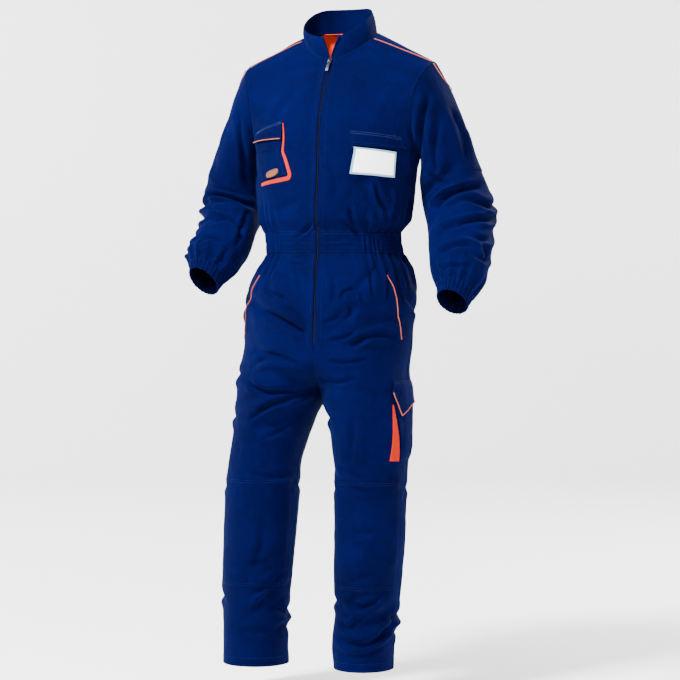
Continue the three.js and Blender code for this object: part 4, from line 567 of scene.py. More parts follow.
def collar_point(side, up, share):
    """share 0 is the front end and 1 the back middle; up is 0 on the neck seam and 1 on the rim."""
    up, share = np.broadcast_arrays(np.asarray(up, float), np.asarray(share, float))
    p = neck_point(side, share * 180)
    flank = np.sin(np.pi * np.minimum(share / COLLAR_FLANK, 1)) ** 2
    high = lerp(COLLAR_FRONT, COLLAR_BACK, (1 - np.cos(np.pi * share)) / 2)
    p[..., 2] += (high - COLLAR_LEAN[side]["dip"] * flank) * up
    way = outward(p, NECK["x"], NECK["y"])
    p = p + way * (COLLAR_SWELL * np.sin(np.pi * up))[..., None]
    p[..., 0] += COLLAR_LEAN[side]["shift"] * np.sin(np.pi * share) * up
    open_x = 3.4 + COLLAR_OPEN * np.maximum(up, 0) ** 1.3
    near = ramp(share, 0.16, 0)
    p[..., 0] = SIGN[side] * np.maximum(np.abs(p[..., 0]), lerp(np.abs(p[..., 0]), open_x, near))
    return p, way

# Fine form: creases, soft undulation and gathers, as functions of the place in space, so that the
# panels still meet at their seams
gradients = unit(np.random.RandomState(11).normal(size=(256, 3)))
shuffled = np.random.RandomState(12).permutation(256)


def noise3(p):
    cell = np.floor(p).astype(int)
    f = p - cell
    w = f * f * f * (f * (f * 6 - 15) + 10)
    total = np.zeros(p.shape[:-1])
    for corner in range(8):
        step = np.array([corner & 1, corner >> 1 & 1, corner >> 2])
        c = (cell + step) & 255
        g = gradients[shuffled[(shuffled[(shuffled[c[..., 0]] + c[..., 1]) & 255] + c[..., 2]) & 255]]
        near = np.where(step == 1, w, 1 - w).prod(axis=-1)
        total += near * (g * (f - step)).sum(axis=-1)
    return total * 1.6


def curve_of(row):
    """Twelve straight steps along a crease's curve."""
    t = np.linspace(0, 1, 13)[:, None]
    ends = [np.array([row[f"u{k}"], row[f"z{k}"]], float) for k in range(3)]
    control = 2 * ends[1] - (ends[0] + ends[2]) / 2
    return (1 - t) ** 2 * ends[0] + 2 * t * (1 - t) * control + t**2 * ends[2]


def crease(u, z, row):
    """A trough with a softer ridge beside it, on the side that `roll` tells, thinning to its ends."""
    points = curve_of(row)
    best = np.full(u.shape, 1e9)
    side, along = np.zeros(u.shape), np.zeros(u.shape)
    reach = 4.5 * row["wide"]
    lo, hi = points.min(0) - reach, points.max(0) + reach
    near = (u > lo[0]) & (u < hi[0]) & (z > lo[1]) & (z < hi[1])
    if not near.any():
        return side
    uu, zz = u[near], z[near]
    b, s, a = best[near], side[near], along[near]
    for k in range(12):
        (x0, y0), (x1, y1) = points[k], points[k + 1]
        dx, dy = x1 - x0, y1 - y0
        size = math.hypot(dx, dy)
        f = ((uu - x0) * dx + (zz - y0) * dy) / size**2
        held = np.clip(f, 0, 1)
        gap = np.hypot(uu - x0 - held * dx, zz - y0 - held * dy)
        take = gap < b
        b = np.where(take, gap, b)
        s = np.where(take, np.sign((uu - x0) * dy - (zz - y0) * dx), s)
        a = np.where(take, (k + held) / 12, a)
    d = b * s
    w, deep, roll = 0.74 * row["wide"], 1.5 * row["deep"], row["roll"]
    form = -0.62 * bump(d, w) - 0.38 * np.exp(-np.abs(d) / (0.55 * w))
    form = form + abs(roll) * bump(d - np.sign(roll) * 1.9 * w, 1.15 * w)
    form = form + 0.3 * bump(d + np.sign(roll) * 2.4 * w, 1.6 * w)
    taper = ramp(a, 0, row["ease"]) * ramp(a, 1, 1 - row["ease"])
    made = np.zeros(u.shape)
    made[near] = deep * taper * form * ramp(b, 4.4 * w, 3.2 * w)
    return made


VIEWS = {
    "front": (math.cos(turn), math.sin(turn), math.sin(turn), -math.cos(turn)),
    "back": (1, 0, 0, 1),
    "left": (0, 1, 1, 0),
    "right": (0, 1, -1, 0),
}


def creases(p, way, group):
    total = np.zeros(p.shape[:-1])
    for row in CREASES:
        if row["on"] != group:
            continue
        ux, uy, wx, wy = VIEWS[row["view"]]
        u = p[..., 0] * ux + p[..., 1] * uy
        facing = way[..., 0] * wx + way[..., 1] * wy
        total += crease(u, p[..., 2], row) * ramp(facing, 0.1, 0.55)
    return total


def soft(p, strength=1.0):
    """Undulation of worn cloth: broad and upright, with a few narrow creases."""
    warp = 14 * vec(noise3(p / 60 + 3), noise3(p / 60 + 31), noise3(p / 60 + 57))
    broad = 2.0 * noise3((p + warp) / [80, 80, 170]) + 1.0 * noise3((p + 2 * warp) / [38, 38, 80] + 9)
    lines = noise3((p + 2.4 * warp) / [44, 44, 60] + 21)
    sharp = np.clip(1 - np.abs(lines) / 0.16, 0, 1) ** 2 * ramp(noise3(p / 120 + 5), 0.0, 0.35)
    fine = 0.22 * noise3((p + warp) / 13 + 40)
    return strength * (broad - 1.3 * sharp + fine)


def pucker(p, d):
    """The small pull of the stitches along a seam that is d away."""
    return (0.55 * noise3(p / [11, 11, 9]) + 0.4 * noise3(p / 22 + 8)) * np.exp(-d / 9) * (1
        - np.exp(-d / 1.4))


def seam_form(d, felled):
    """The sunken seam line, and beside it the folded allowance that the top stitching holds."""
    form = -0.9 * bump(d, 1.1)
    if felled:
        form = form + 0.75 * ramp(d, 0.6, 1.8) * ramp(d, felled + 1.6, felled + 0.2)
    return form


def gather_form(share, z, part):
    """Gathers that the waist elastic makes: fine in the band, and merging above and below it."""
    held = ramp(share, 0.37, 0.46) if part == "front" else 1.0
    band = ramp(z, BAND_TOP + 14, BAND_TOP - 3) * ramp(z, BAND_BOTTOM - 14, BAND_BOTTOM + 3)
    above = ramp(z, BAND_TOP + 95, BAND_TOP + 12) * ramp(z, BAND_TOP - 10, BAND_TOP + 10)
    below = ramp(z, BAND_BOTTOM - 105, BAND_BOTTOM - 12) * ramp(z, BAND_BOTTOM + 10, BAND_BOTTOM - 10)
    key = vec(share * 9 + (0 if part == "front" else 40), 0 * z, 0 * z)
    wander = noise3(key) * 2.2 + 0.8 * noise3(key * 2.3 + 7)
    lean = noise3(vec(share * 7, z / 70, 3.0)) * 0.9
    fine = np.cos(2 * np.pi * 21 * share + wander)
    fine = fine * (0.75 + 0.5 * noise3(vec(share * 30, z / 24, 11.0)))
    uneven = 0.55 + 0.75 * ramp(noise3(vec(share * 13, z / 300, 1.0)), -0.5, 0.5)
    wide = np.cos(2 * np.pi * 10.5 * share + wander / 2 + lean) * uneven
    wide = wide + 0.5 * np.cos(2 * np.pi * 21 * share + wander) * ramp(np.minimum(np.abs(z - BAND_TOP),
        np.abs(z - BAND_BOTTOM)), 55, 5)
    pull = 1.1 * (bump(z - BAND_TOP, 2.2) + bump(z - BAND_BOTTOM, 2.2) + 0.8 * bump(z + 514, 1.8))
    return held * (2.5 * band * fine + 3.9 * (above + below) * wide - pull)


def cuff_form(share, at):
    key = vec(np.cos(2 * np.pi * share) * 3, np.sin(2 * np.pi * share) * 3, 0 * at)
    wander = noise3(key) * 2.0
    held = ramp(at, 8.75, 9.05)
    fine = np.cos(2 * np.pi * 26 * share + wander) * (0.8 + 0.5 * noise3(key * 3 + 5))
    above = ramp(at, 7.5, 8.7) * ramp(at, 9.12, 8.9)
    uneven = 0.5 + 0.8 * ramp(noise3(key * 1.7 + 9), -0.5, 0.5)
    wide = np.cos(2 * np.pi * 13 * share + wander / 2 + 0.6 * noise3(vec(share * 6, at, 2.0))) * uneven
    return 1.5 * held * fine + 3.0 * above * wide - 1.2 * bump(at - 9.03, 0.04) + 2.0 * above


class Panel:
    """A piece of cloth as a grid: places, outward normals, and distances from its edges."""

    def __init__(self, points, shares, rows, way, to_row=None, closed=False):
        self.p, self.s, self.r, self.closed = points, shares, np.asarray(rows, float), closed
        self.to_row = to_row or (lambda v: v)
        self.way = way
        self.measure()

    def measure(self):
        p = self.p
        across = np.linalg.norm(np.diff(p, axis=1), axis=-1)
        self.a = np.concatenate([np.zeros((len(p), 1)), np.cumsum(across, axis=1)], axis=1)
        up = np.linalg.norm(np.diff(p, axis=0), axis=-1)
        self.v = np.concatenate([np.zeros((1, p.shape[1])), np.cumsum(up, axis=0)], axis=0)
        if self.closed:
            ring = np.concatenate([p[:, -2:-1], p, p[:, 1:2]], axis=1)
            dc = (ring[:, 2:] - ring[:, :-2])
        else:
            dc = np.gradient(p, axis=1)
        dr = np.gradient(p, axis=0)
        n = unit(np.cross(dc, dr))
        flip = np.sign((n * self.way).sum(axis=-1).mean()) or 1
        self.n = n * flip
        self.flip = flip < 0

    def distance(self, edge):
        return {"start": self.a, "end": self.a[:, -1:] - self.a, "low": self.v,
                "high": self.v[-1:] - self.v}[edge]

    def push(self, h):
        self.p = self.p + self.way * np.asarray(h)[..., None]
        self.measure()

    def at(self, share, v):
        """Places and normals at shares and row values, read between the grid's own points."""
        share, v = np.broadcast_arrays(np.asarray(share, float), np.asarray(v, float))
        r = np.clip(self.to_row(v), self.r[0], self.r[-1])
        i = np.clip(np.searchsorted(self.r, r, side="right") - 1, 0, len(self.r) - 2)
        f = ((r - self.r[i]) / (self.r[i + 1] - self.r[i])).ravel()
        made = [np.zeros((share.size, 3)), np.zeros((share.size, 3))]
        flat_share, flat_i = share.ravel(), i.ravel()
        for k in (0, 1):
            weight = f if k else 1 - f
            rows_here = flat_i + k
            for row in np.unique(rows_here):
                m = rows_here == row
                sk = self.s[row]
                j = np.clip(np.searchsorted(sk, flat_share[m], side="right") - 1, 0, len(sk) - 2)
                g = np.clip((flat_share[m] - sk[j]) / (sk[j + 1] - sk[j]), -0.5, 1.5)[:, None]
                for out, source in zip(made, (self.p, self.n)):
                    out[m] += weight[m, None] * (source[row, j] * (1 - g) + source[row, j + 1] * g)
        return made[0].reshape(share.shape + (3,)), unit(made[1]).reshape(share.shape + (3,))


NEAR = [0, 0.7, 1.5, 2.6, 4.2, 6.0, 7.2, 8.4, 10.2, 13]


def spread(length, start, end, step, zones=None):
    """Distances across a panel: fine beside its seams, and `step` apart between. zones lists
    (share, step) from which a finer step holds."""
    head = np.array(NEAR) if start else np.array([0.0])
    tail = length - (np.array(NEAR) if end else np.array([0.0]))[::-1]
    inner = [head[-1]]
    while inner[-1] < tail[0]:
        here = step
        for share, finer in zones or ():
            if inner[-1] > share * length:
                here = finer
        inner.append(inner[-1] + here)
    inner = np.array(inner[1:-1])
    return head, (inner - head[-1]) / (tail[0] - head[-1]), tail - length


def make_panel(surface, rows, start=True, end=True, step=4.6, zones=None, to_row=None, closed=False):
    rows = np.asarray(rows, float)
    probe = np.linspace(0, 1, 241)
    trial = surface(rows[:, None], probe[None, :])[0]
    lengths = np.concatenate([np.zeros((len(rows), 1)), np.cumsum(np.linalg.norm(np.diff(trial, axis=1),
        axis=-1), axis=1)], axis=1)
    if closed:
        shares = np.tile(np.linspace(0, 1, closed + 1), (len(rows), 1))
    else:
        head, inner, tail = spread(np.median(lengths[:, -1]), start, end, step, zones)
        shares = np.zeros((len(rows), len(head) + len(inner) + len(tail)))
        for i, length in enumerate(lengths[:, -1]):
            tight = min(1, 0.4 * length / max(head[-1] - tail[0], 1))
            h, t = head * tight, length + tail * tight
            wanted = np.concatenate([h, h[-1] + inner * (t[0] - h[-1]), t])
            shares[i] = np.interp(wanted, lengths[i], probe)
        shares[:, 0], shares[:, -1] = 0, 1
    points, way = surface(rows[:, None], shares)
    return Panel(points, shares, rows, way, to_row, bool(closed))


def steps(*stops):
    """Row values from stop to stop: (from, to, step)."""
    made = []
    for start, end, step in stops:
        count = max(1, round(abs(end - start) / step))
        made.extend(np.linspace(start, end, count, endpoint=False))
    made.append(stops[-1][1])
    return np.array(made)

# Meshes
made_pieces = {}


def grid_faces(rows, cols, base, flip):
    i, j = np.meshgrid(np.arange(rows - 1), np.arange(cols - 1), indexing="ij")
    a = base + i * cols + j
    quads = np.stack([a, a + 1, a + cols + 1, a + cols], axis=-1).reshape(-1, 4)
    return quads[:, ::-1] if flip else quads


def add_mesh(name, grids, material, body="garment", slot=None, replaces=()):
    """A piece from grids, each (points in mm, uv in mm, flip)."""
    verts, uvs, faces, base = [], [], [], 0
    for points, uv, flip in grids:
        rows, cols = points.shape[:2]
        faces.append(grid_faces(rows, cols, base, flip))
        verts.append(points.reshape(-1, 3))
        uvs.append(uv.reshape(-1, 2))
        base += rows * cols
    verts, uvs, faces = np.concatenate(verts), np.concatenate(uvs), np.concatenate(faces)
    mesh = bpy.data.meshes.new(name)
    mesh.vertices.add(len(verts))
    mesh.vertices.foreach_set("co", (verts / 1000).astype(np.float32).ravel())
    mesh.loops.add(faces.size)
    mesh.loops.foreach_set("vertex_index", faces.astype(np.int32).ravel())
    mesh.polygons.add(len(faces))
    mesh.polygons.foreach_set("loop_start", np.arange(0, faces.size, 4, dtype=np.int32))
    mesh.update(calc_edges=True)
    layer = mesh.uv_layers.new(name="UVMap")
    layer.data.foreach_set("uv", (uvs[faces.ravel()] / 1000).astype(np.float32).ravel())
    mesh.polygons.foreach_set("use_smooth", np.ones(len(faces), bool))
    mesh.validate()
    piece = bpy.data.objects.new(name, mesh)
    bpy.context.scene.collection.objects.link(piece)
    mesh.materials.append(material)
    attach(piece, body)
    if replaces:
        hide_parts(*replaces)
    made_pieces[name] = piece
    return piece


def turned(points, normals, uv, edge, deep=1.5, reach=22):
    """Adds an edge turned under: the cloth goes round it and lies inside, `reach` mm back."""
    swap = edge in ("low", "high")
    p, n, t = (a.transpose(1, 0, 2) if swap else a for a in (points, normals, uv))
    if edge in ("end", "high"):
        p, n, t = p[:, ::-1], n[:, ::-1], t[:, ::-1]
    away = np.cumsum(np.linalg.norm(np.diff(p, axis=1), axis=-1).mean(axis=0))
    count = max(2, int(np.searchsorted(away, reach)))
    out = unit(p[:, 0] - p[:, 1])
    under = p[:, : count + 1] - n[:, : count + 1] * deep
    rim = p[:, :1] + out[:, None] * 0.35 * deep - n[:, :1] * deep * 0.5
    keep = [k for k in range(count, -1, -1) if k in (0, count) or k % 2 == 0]
    p = np.concatenate([under[:, keep], rim, p], axis=1)
    t = np.concatenate([t[:, keep] * [1, 1] + [0, 0], t[:, :1], t], axis=1)
    n = np.concatenate([-n[:, keep], out[:, None], n], axis=1)
    if edge in ("end", "high"):
        p, n, t = p[:, ::-1], n[:, ::-1], t[:, ::-1]
    if swap:
        p, n, t = (a.transpose(1, 0, 2) for a in (p, n, t))
    return p, n, t


def uv_of(panel):
    return np.stack([panel.a, panel.v], axis=-1)


def dress(name, panels_here, material, turns=(), **how):
    """A sewn panel, or the halves of one, as one layer of cloth with its free edges turned under."""
    grids = []
    for k, panel in enumerate(panels_here):
        p, n, t = panel.p, panel.n, uv_of(panel) + [600 * k, 0]
        for edge, reach in turns:
            p, n, t = turned(p, n, t, edge, reach=reach)
        grids.append((p, t, panel.flip))
    return add_mesh(name, grids, material, **how)


def thick(name, panel, material, wall=1.3, **how):
    """A small piece as a closed wall with rounded edges; its outer face is the panel."""
    p, n, t = panel.p, panel.n, uv_of(panel)
    inner = p - n * wall
    grids = [(p, t, panel.flip), (inner, t, not panel.flip)]

    def rim(edge):
        swap = edge in ("low", "high")
        a, b, nn, tt = (x.transpose(1, 0, 2) if swap else x for x in (p, inner, n, t))
        k, k1 = (0, 1) if edge in ("start", "low") else (-1, -2)
        out = unit(a[:, k] - a[:, k1])
        middle = (a[:, k] + b[:, k]) / 2 + out * 0.42 * wall
        strip = np.stack([a[:, k], middle, b[:, k]], axis=1)
        return strip, np.stack([tt[:, k]] * 3, axis=1), (panel.flip != (edge in ("start", "high")))

    edges = ("low", "high") if panel.closed else ("start", "end", "low", "high")
    return add_mesh(name, grids + [rim(edge) for edge in edges], material, **how)


# Panels by name, for what is laid on them
PANELS = {}


def place(panel, share, v):
    share, v = np.broadcast_arrays(np.asarray(share, float), np.asarray(v, float))
    if not panel.startswith("leg_"):
        return PANELS[panel].at(share, v)
    side = panel[4:]
    p, n = PANELS[f"trouser_front_{side}"].at(np.minimum(share, 1), v)
    q, m = PANELS[f"trouser_back_{side}"].at(np.minimum(2 - share, 1), v)
    back = (share > 1)[..., None]
    return np.where(back, q, p), np.where(back, m, n)


# Sewing thread: each stitch is a small raised strand
stitch_sets = {}


def sew(points, normals, kind="navy", pitch=3.3, length=2.5, lift=0.16, radius=0.3):
    """A row of stitches along a line of places."""
    ok = np.isfinite(points).all(axis=1)
    points, normals = points[ok], normals[ok]
    if len(points) < 2:
        return
    along = np.concatenate([[0], np.cumsum(np.linalg.norm(np.diff(points, axis=0), axis=1))])
    keep = np.concatenate([[True], np.diff(along) > 1e-6])
    along, points, normals = along[keep], points[keep], normals[keep]
    if along[-1] < 2 * pitch:
        return
    count = int(along[-1] // pitch)
    starts = np.arange(count) * along[-1] / count + 0.3
    read = lambda data, at: np.stack([np.interp(at, along, data[:, k]) for k in range(3)], axis=1)
    a, b = read(points, starts), read(points, starts + length)
    n = unit(read(normals, starts + length / 2))
    way = unit(b - a)
    side = unit(np.cross(way, n))
    lo, hi = a + n * -0.15, b + n * -0.15
    rings = []
    for at in (0.22, 0.78):
        middle = lerp(a, b, at) + n * lift
        for angle in (90, 210, 330):
            c, s = math.cos(math.radians(angle)), math.sin(math.radians(angle))
            rings.append(middle + side * (c * radius) + n * (s * radius))
    verts = np.stack([lo, *rings, hi], axis=1)
    stitch_sets.setdefault(kind, []).append(verts)


STITCH_FACES = [(0, 2, 1), (0, 3, 2), (0, 1, 3), (1, 2, 5, 4), (2, 3, 6, 5), (3, 1, 4, 6), (4, 5, 7),
                (5, 6, 7), (6, 4, 7)]


def edge_path(panel, edge, away, low=-1e9, high=1e9):
    """The line that stays `away` mm from an edge, between two row values."""
    d = panel.distance(edge)
    p, n = panel.p, panel.n
    if edge in ("low", "high"):
        d, p, n = d.T, p.transpose(1, 0, 2), n.transpose(1, 0, 2)
    if edge in ("end", "high"):
        d, p, n = d[:, ::-1], p[:, ::-1], n[:, ::-1]
    points, normals = [], []
    for i in range(len(d)):
        if edge in ("start", "end") and not low <= panel.r[i] <= high:
            continue
        if d[i, -1] < away:
            continue
        points.append([np.interp(away, d[i], p[i, :, k]) for k in range(3)])
        normals.append([np.interp(away, d[i], n[i, :, k]) for k in range(3)])
    return np.array(points).reshape(-1, 3), unit(np.array(normals).reshape(-1, 3))


def sew_edge(panel, edge, ways, kind="navy", low=-1e9, high=1e9):
    for away in ways:
        sew(*edge_path(panel, edge, away, low, high), kind=kind)


def sew_places(panel, line, kind="navy", lift=0.0, steps_each=24, **how):
    """Stitches through (share, v) places on a panel."""
    s = np.concatenate([np.linspace(a[0], b[0], steps_each, endpoint=False) for a,
                        b in zip(line, line[1:])] + [[line[-1][0]]])
    v = np.concatenate([np.linspace(a[1], b[1], steps_each, endpoint=False) for a,
                        b in zip(line, line[1:])] + [[line[-1][1]]])
    p, n = place(panel, s, v)
    sew(p + n * lift, n, kind=kind, **how)

# Materials
def new_material(name, color, roughness=0.8, **sockets):
    material = bpy.data.materials.new(name)
    material.use_nodes = True
    shader = material.node_tree.nodes["Principled BSDF"]
    shader.inputs["Base Color"].default_value = (*color, 1)
    shader.inputs["Roughness"].default_value = roughness
    for key, value in sockets.items():
        shader.inputs[key.replace("_", " ")].default_value = value
    return material, material.node_tree, shader


def cloth_material(name, dark, light, period=0.9, weave=0.5, slope=True, sheen=0.35, roughness=0.82,
                   tint=(0.5, 0.6, 1, 1), mottled=(7, 60)):
    """Woven cloth: diagonal twill ribs or plain weave as bump and shade, over uneven dye."""
    material, tree, shader = new_material(name, dark, roughness)
    shader.inputs["Sheen Weight"].default_value = sheen
    shader.inputs["Sheen Roughness"].default_value = 0.45
    shader.inputs["Sheen Tint"].default_value = tint
    shader.inputs["Specular IOR Level"].default_value = 0.015
    node, link = tree.nodes.new, tree.links.new
    uv = node("ShaderNodeTexCoord").outputs["UV"]
    turned_uv = node("ShaderNodeMapping")
    turned_uv.inputs["Rotation"].default_value = (0, 0, math.radians(27 if slope else 0))
    link(uv, turned_uv.inputs["Vector"])
    ribs = node("ShaderNodeTexWave")
    ribs.bands_direction = "X"
    ribs.inputs["Scale"].default_value = 0.314 / (period / 1000)
    ribs.inputs["Distortion"].default_value = 0.6
    ribs.inputs["Detail"].default_value = 1.0
    ribs.inputs["Detail Scale"].default_value = 3.0
    link(turned_uv.outputs["Vector"], ribs.inputs["Vector"])
    yarn = node("ShaderNodeTexWave")
    yarn.bands_direction = "Y"
    yarn.inputs["Scale"].default_value = 0.314 / (period * 0.62 / 1000)
    yarn.inputs["Distortion"].default_value = 0.4
    link(uv, yarn.inputs["Vector"])
    woven = node("ShaderNodeMath")
    woven.operation = "MULTIPLY_ADD"
    link(yarn.outputs["Fac"], woven.inputs[0])
    woven.inputs[1].default_value = 0.45
    link(ribs.outputs["Fac"], woven.inputs[2])
    slub = node("ShaderNodeTexNoise")
    slub.inputs["Scale"].default_value = 420
    slub.inputs["Detail"].default_value = 3
    link(uv, slub.inputs["Vector"])
    patch = node("ShaderNodeTexNoise")
    patch.inputs["Scale"].default_value = mottled[0]
    patch.inputs["Detail"].default_value = 4
    patch.inputs["Roughness"].default_value = 0.6
    coords = node("ShaderNodeTexCoord").outputs["Object"]
    link(coords, patch.inputs["Vector"])
    cloud = node("ShaderNodeTexNoise")
    cloud.inputs["Scale"].default_value = mottled[1]
    cloud.inputs["Detail"].default_value = 3
    link(coords, cloud.inputs["Vector"])
    blend = node("ShaderNodeMath")
    blend.operation = "MULTIPLY_ADD"
    link(cloud.outputs["Fac"], blend.inputs[0])
    blend.inputs[1].default_value = 0.35
    link(patch.outputs["Fac"], blend.inputs[2])
    more = node("ShaderNodeMath")
    more.operation = "MULTIPLY_ADD"
    link(woven.outputs["Value"], more.inputs[0])
    more.inputs[1].default_value = 0.16
    link(blend.outputs["Value"], more.inputs[2])
    shade = node("ShaderNodeMapRange")
    shade.inputs["From Min"].default_value = 0.45
    shade.inputs["From Max"].default_value = 1.1
    link(more.outputs["Value"], shade.inputs["Value"])
    mix = node("ShaderNodeMix")
    mix.data_type = "RGBA"
    mix.inputs["A"].default_value = (*dark, 1)
    mix.inputs["B"].default_value = (*light, 1)
    link(shade.outputs["Result"], mix.inputs["Factor"])
    link(mix.outputs["Result"], shader.inputs["Base Color"])
    height = node("ShaderNodeMath")
    height.operation = "MULTIPLY_ADD"
    link(slub.outputs["Fac"], height.inputs[0])
    height.inputs[1].default_value = 0.8
    link(woven.outputs["Value"], height.inputs[2])
    bumped = node("ShaderNodeBump")
    bumped.inputs["Strength"].default_value = weave
    bumped.inputs["Distance"].default_value = 0.00022
    link(height.outputs["Value"], bumped.inputs["Height"])
    link(bumped.outputs["Normal"], shader.inputs["Normal"])
    return material


def speckled(material, scale, amount, distance=0.0002):
    """A fine uneven surface on a hard piece."""
    tree = material.node_tree
    shader = tree.nodes["Principled BSDF"]
    grain = tree.nodes.new("ShaderNodeTexNoise")
    grain.inputs["Scale"].default_value = scale
    grain.inputs["Detail"].default_value = 4
    tree.links.new(tree.nodes.new("ShaderNodeTexCoord").outputs["Object"], grain.inputs["Vector"])
    bumped = tree.nodes.new("ShaderNodeBump")
    bumped.inputs["Strength"].default_value = amount
    bumped.inputs["Distance"].default_value = distance
    tree.links.new(grain.outputs["Fac"], bumped.inputs["Height"])
    tree.links.new(bumped.outputs["Normal"], shader.inputs["Normal"])
    ranged = tree.nodes.new("ShaderNodeMapRange")
    base = shader.inputs["Roughness"].default_value
    ranged.inputs["To Min"].default_value = base * 0.75
    ranged.inputs["To Max"].default_value = min(1, base * 1.3)
    tree.links.new(grain.outputs["Fac"], ranged.inputs["Value"])
    tree.links.new(ranged.outputs["Result"], shader.inputs["Roughness"])
    return material


navy = cloth_material("navy_twill", (0.0001, 0.0003, 0.0110), (0.0002, 0.0009, 0.030), sheen=0.03,
                      tint=(0.1, 0.25, 1, 1))
navy_patch = cloth_material("navy_twill_cross", (0.0001, 0.0003, 0.0104), (0.0002, 0.0008, 0.028),
                            period=1.0, sheen=0.03, tint=(0.1, 0.25, 1, 1))
orange = cloth_material("orange_cloth", (0.21, 0.0055, 0.0006), (0.35, 0.013, 0.0014), period=0.55,
                        weave=0.35, slope=False, sheen=0.2, tint=(1, 0.7, 0.5, 1))
# The facing inside the neck: its orange hue is the cloth's own colour, but it is a copy of the orange cloth
# made about three to four times brighter, which is painted light standing in for light that reaches inside
# the neck
facing_cloth_painted_light = cloth_material("orange_facing_painted_light", (0.80, 0.036, 0.005), (0.95, 0.070, 0.011), period=0.55,
                              weave=0.35, slope=False, sheen=0.1, tint=(1, 0.6, 0.4, 1))
piping_cloth = cloth_material("orange_piping", (0.20, 0.036, 0.022), (0.30, 0.070, 0.046), period=0.5,
                              weave=0.4, slope=True, sheen=0.25, tint=(1, 0.8, 0.7, 1))
tape_cloth = cloth_material("zip_tape_cloth", (0.0002, 0.0005, 0.004), (0.0003, 0.0010, 0.008), period=0.6,
                            weave=0.5, slope=False, sheen=0.2)
label_cloth = cloth_material("label_cloth", (0.10, 0.030, 0.014), (0.16, 0.055, 0.028), period=0.5,
                             weave=0.5, slope=False, sheen=0.2, tint=(1, 0.9, 0.8, 1))
thread = speckled(new_material("navy_thread", (0.0014, 0.0055, 0.055), 0.7, Specular_IOR_Level=0.15)[0],
                  900, 0.5)
orange_thread = speckled(new_material("orange_thread", (0.55, 0.06, 0.012), 0.7,
                                      Specular_IOR_Level=0.15)[0], 900, 0.5)
pale_thread = speckled(new_material("pale_thread", (0.05, 0.08, 0.22), 0.6, Specular_IOR_Level=0.2)[0],
                       900, 0.5)
teeth_plastic = speckled(new_material("zip_teeth_plastic", (0.0002, 0.0006, 0.0045), 0.6,
                                      Specular_IOR_Level=0.12)[0], 300, 0.2)
nickel = speckled(new_material("zip_nickel", (0.055, 0.060, 0.075), 0.36, Metallic=1.0)[0], 350, 0.35,
                  0.0001)
vinyl = speckled(new_material("badge_vinyl", (0.13, 0.24, 0.34), 0.3, Coat_Weight=0.6,
                              Coat_Roughness=0.12)[0], 160, 0.3)
card = speckled(new_material("badge_card", (0.95, 0.95, 0.945), 0.42, Coat_Weight=0.35,
                             Coat_Roughness=0.15)[0], 500, 0.15, 0.0001)

# The sewn panels
def bodice_panel(part, side):
    top = 165 if part == "front" else 125
    rows = np.concatenate([
        BAND_TOP + np.array(NEAR[:-1]),
        steps((BAND_TOP + 13, ARMPIT_Z, 3.6), (ARMPIT_Z, ARMPIT_Z + top - 6, 1.5),
              (ARMPIT_Z + top - 6, ARMPIT_Z + top, 0.6)),
    ])
    zones = [(0, 3.7), (0.36, 2.2)] if part == "front" else [(0, 2.3)]
    panel = make_panel(
        lambda r, s: bodice_point(part, side, r, s), rows, zones=zones,
        to_row=lambda v: row_at_height(part, v),
    )
    p, way = panel.p, panel.way
    z = row_height(part, panel.r)[:, None] + 0 * panel.s
    above = (panel.r > ARMPIT_Z)[:, None]
    start, end, low, high = (panel.distance(e) for e in ("start", "end", "low", "high"))
    calm = np.where(above, ramp(end, 0, 34), 1) * ramp(high, 0, 28)
    neck = (panel.r - ARMPIT_Z > HALF[part]["corner"] - 14)[:, None]
    calm = calm * np.where(neck, ramp(start, 0, 26), 1)
    middle = 0.4 + 0.6 * ramp(start, 0, 34) if part == "front" else 1
    h = creases(p, way, "body") * calm * middle + soft(p, 0.9) * calm * (0.5 + 0.5 * np.asarray(middle))
    h = h + gather_form(panel.s, z, part)
    h = h + seam_form(low, 0) + np.where(above, seam_form(end, 7),
                                         seam_form(end, 7 if part == "back" else 0))
    h = h + pucker(p, end) + pucker(p, low) * 0.6
    if part == "front":
        shift = np.clip(1 - start / 18, 0, 1) * (row_height(part, panel.r) < NECK_Z_FRONT + 1)[:, None]
        panel.p[..., 0] += SIGN[side] * 2.5 * shift
        h = h + 0.7 * ramp(start, 10.5, 8.5) * ramp(start, 0, 1.2) + 0.8 * pucker(p, np.maximum(start, 1))
    else:
        h = h + seam_form(high, 0)
    panel.push(h)
    PANELS[f"bodice_{part}_{side}"] = panel
    return panel


def yoke_panel(side):
    rows = np.concatenate([[0, 0.006, 0.014, 0.03, 0.05, 0.075], steps((0.1, 0.9, 0.04)),
                           [0.925, 0.95, 0.97, 0.986, 0.994, 1]])
    panel = make_panel(lambda r, s: yoke_point(side, r, s), rows, step=4.6)
    low, high, end, start = (panel.distance(e) for e in ("low", "high", "end", "start"))
    p = panel.p
    calm = ramp(np.minimum(np.minimum(low, high), np.minimum(end, start)), 2, 26)
    panel.push(soft(p, 0.7) * calm + seam_form(high, 7) + seam_form(end, 7)
               + pucker(p, np.minimum(end, high)) * 0.8)
    PANELS[f"yoke_{side}"] = panel
    return panel


def sleeve_panel(side):
    rows = np.concatenate([[0, 0.012, 0.025, 0.045, 0.07, 0.1],
                           steps((0.14, 7.4, 0.088), (7.4, 8.7, 0.06), (8.7, 9, 0.03))])
    panel = make_panel(lambda r, s: sleeve_surface(side, r, s), rows, closed=208)
    p, way, at = panel.p, panel.way, panel.r[:, None] + 0 * panel.s
    group = f"sleeve_{side}"
    calm = ramp(at, 0.05, 0.8) * ramp(at, 9.0, 8.5)
    underarm = np.minimum(panel.s, 1 - panel.s) * panel.a[:, -1:]
    h = (creases(p, way, group) + soft(p, 1.25)) * calm + cuff_form(panel.s, at)
    h = h + seam_form(panel.distance("low"), 0) - 0.8 * bump(underarm, 1.6) + 0.8 * pucker(p, underarm)
    h = h + 0.8 * pucker(p, panel.distance("low"))
    panel.push(h)
    PANELS[group] = panel
    return panel


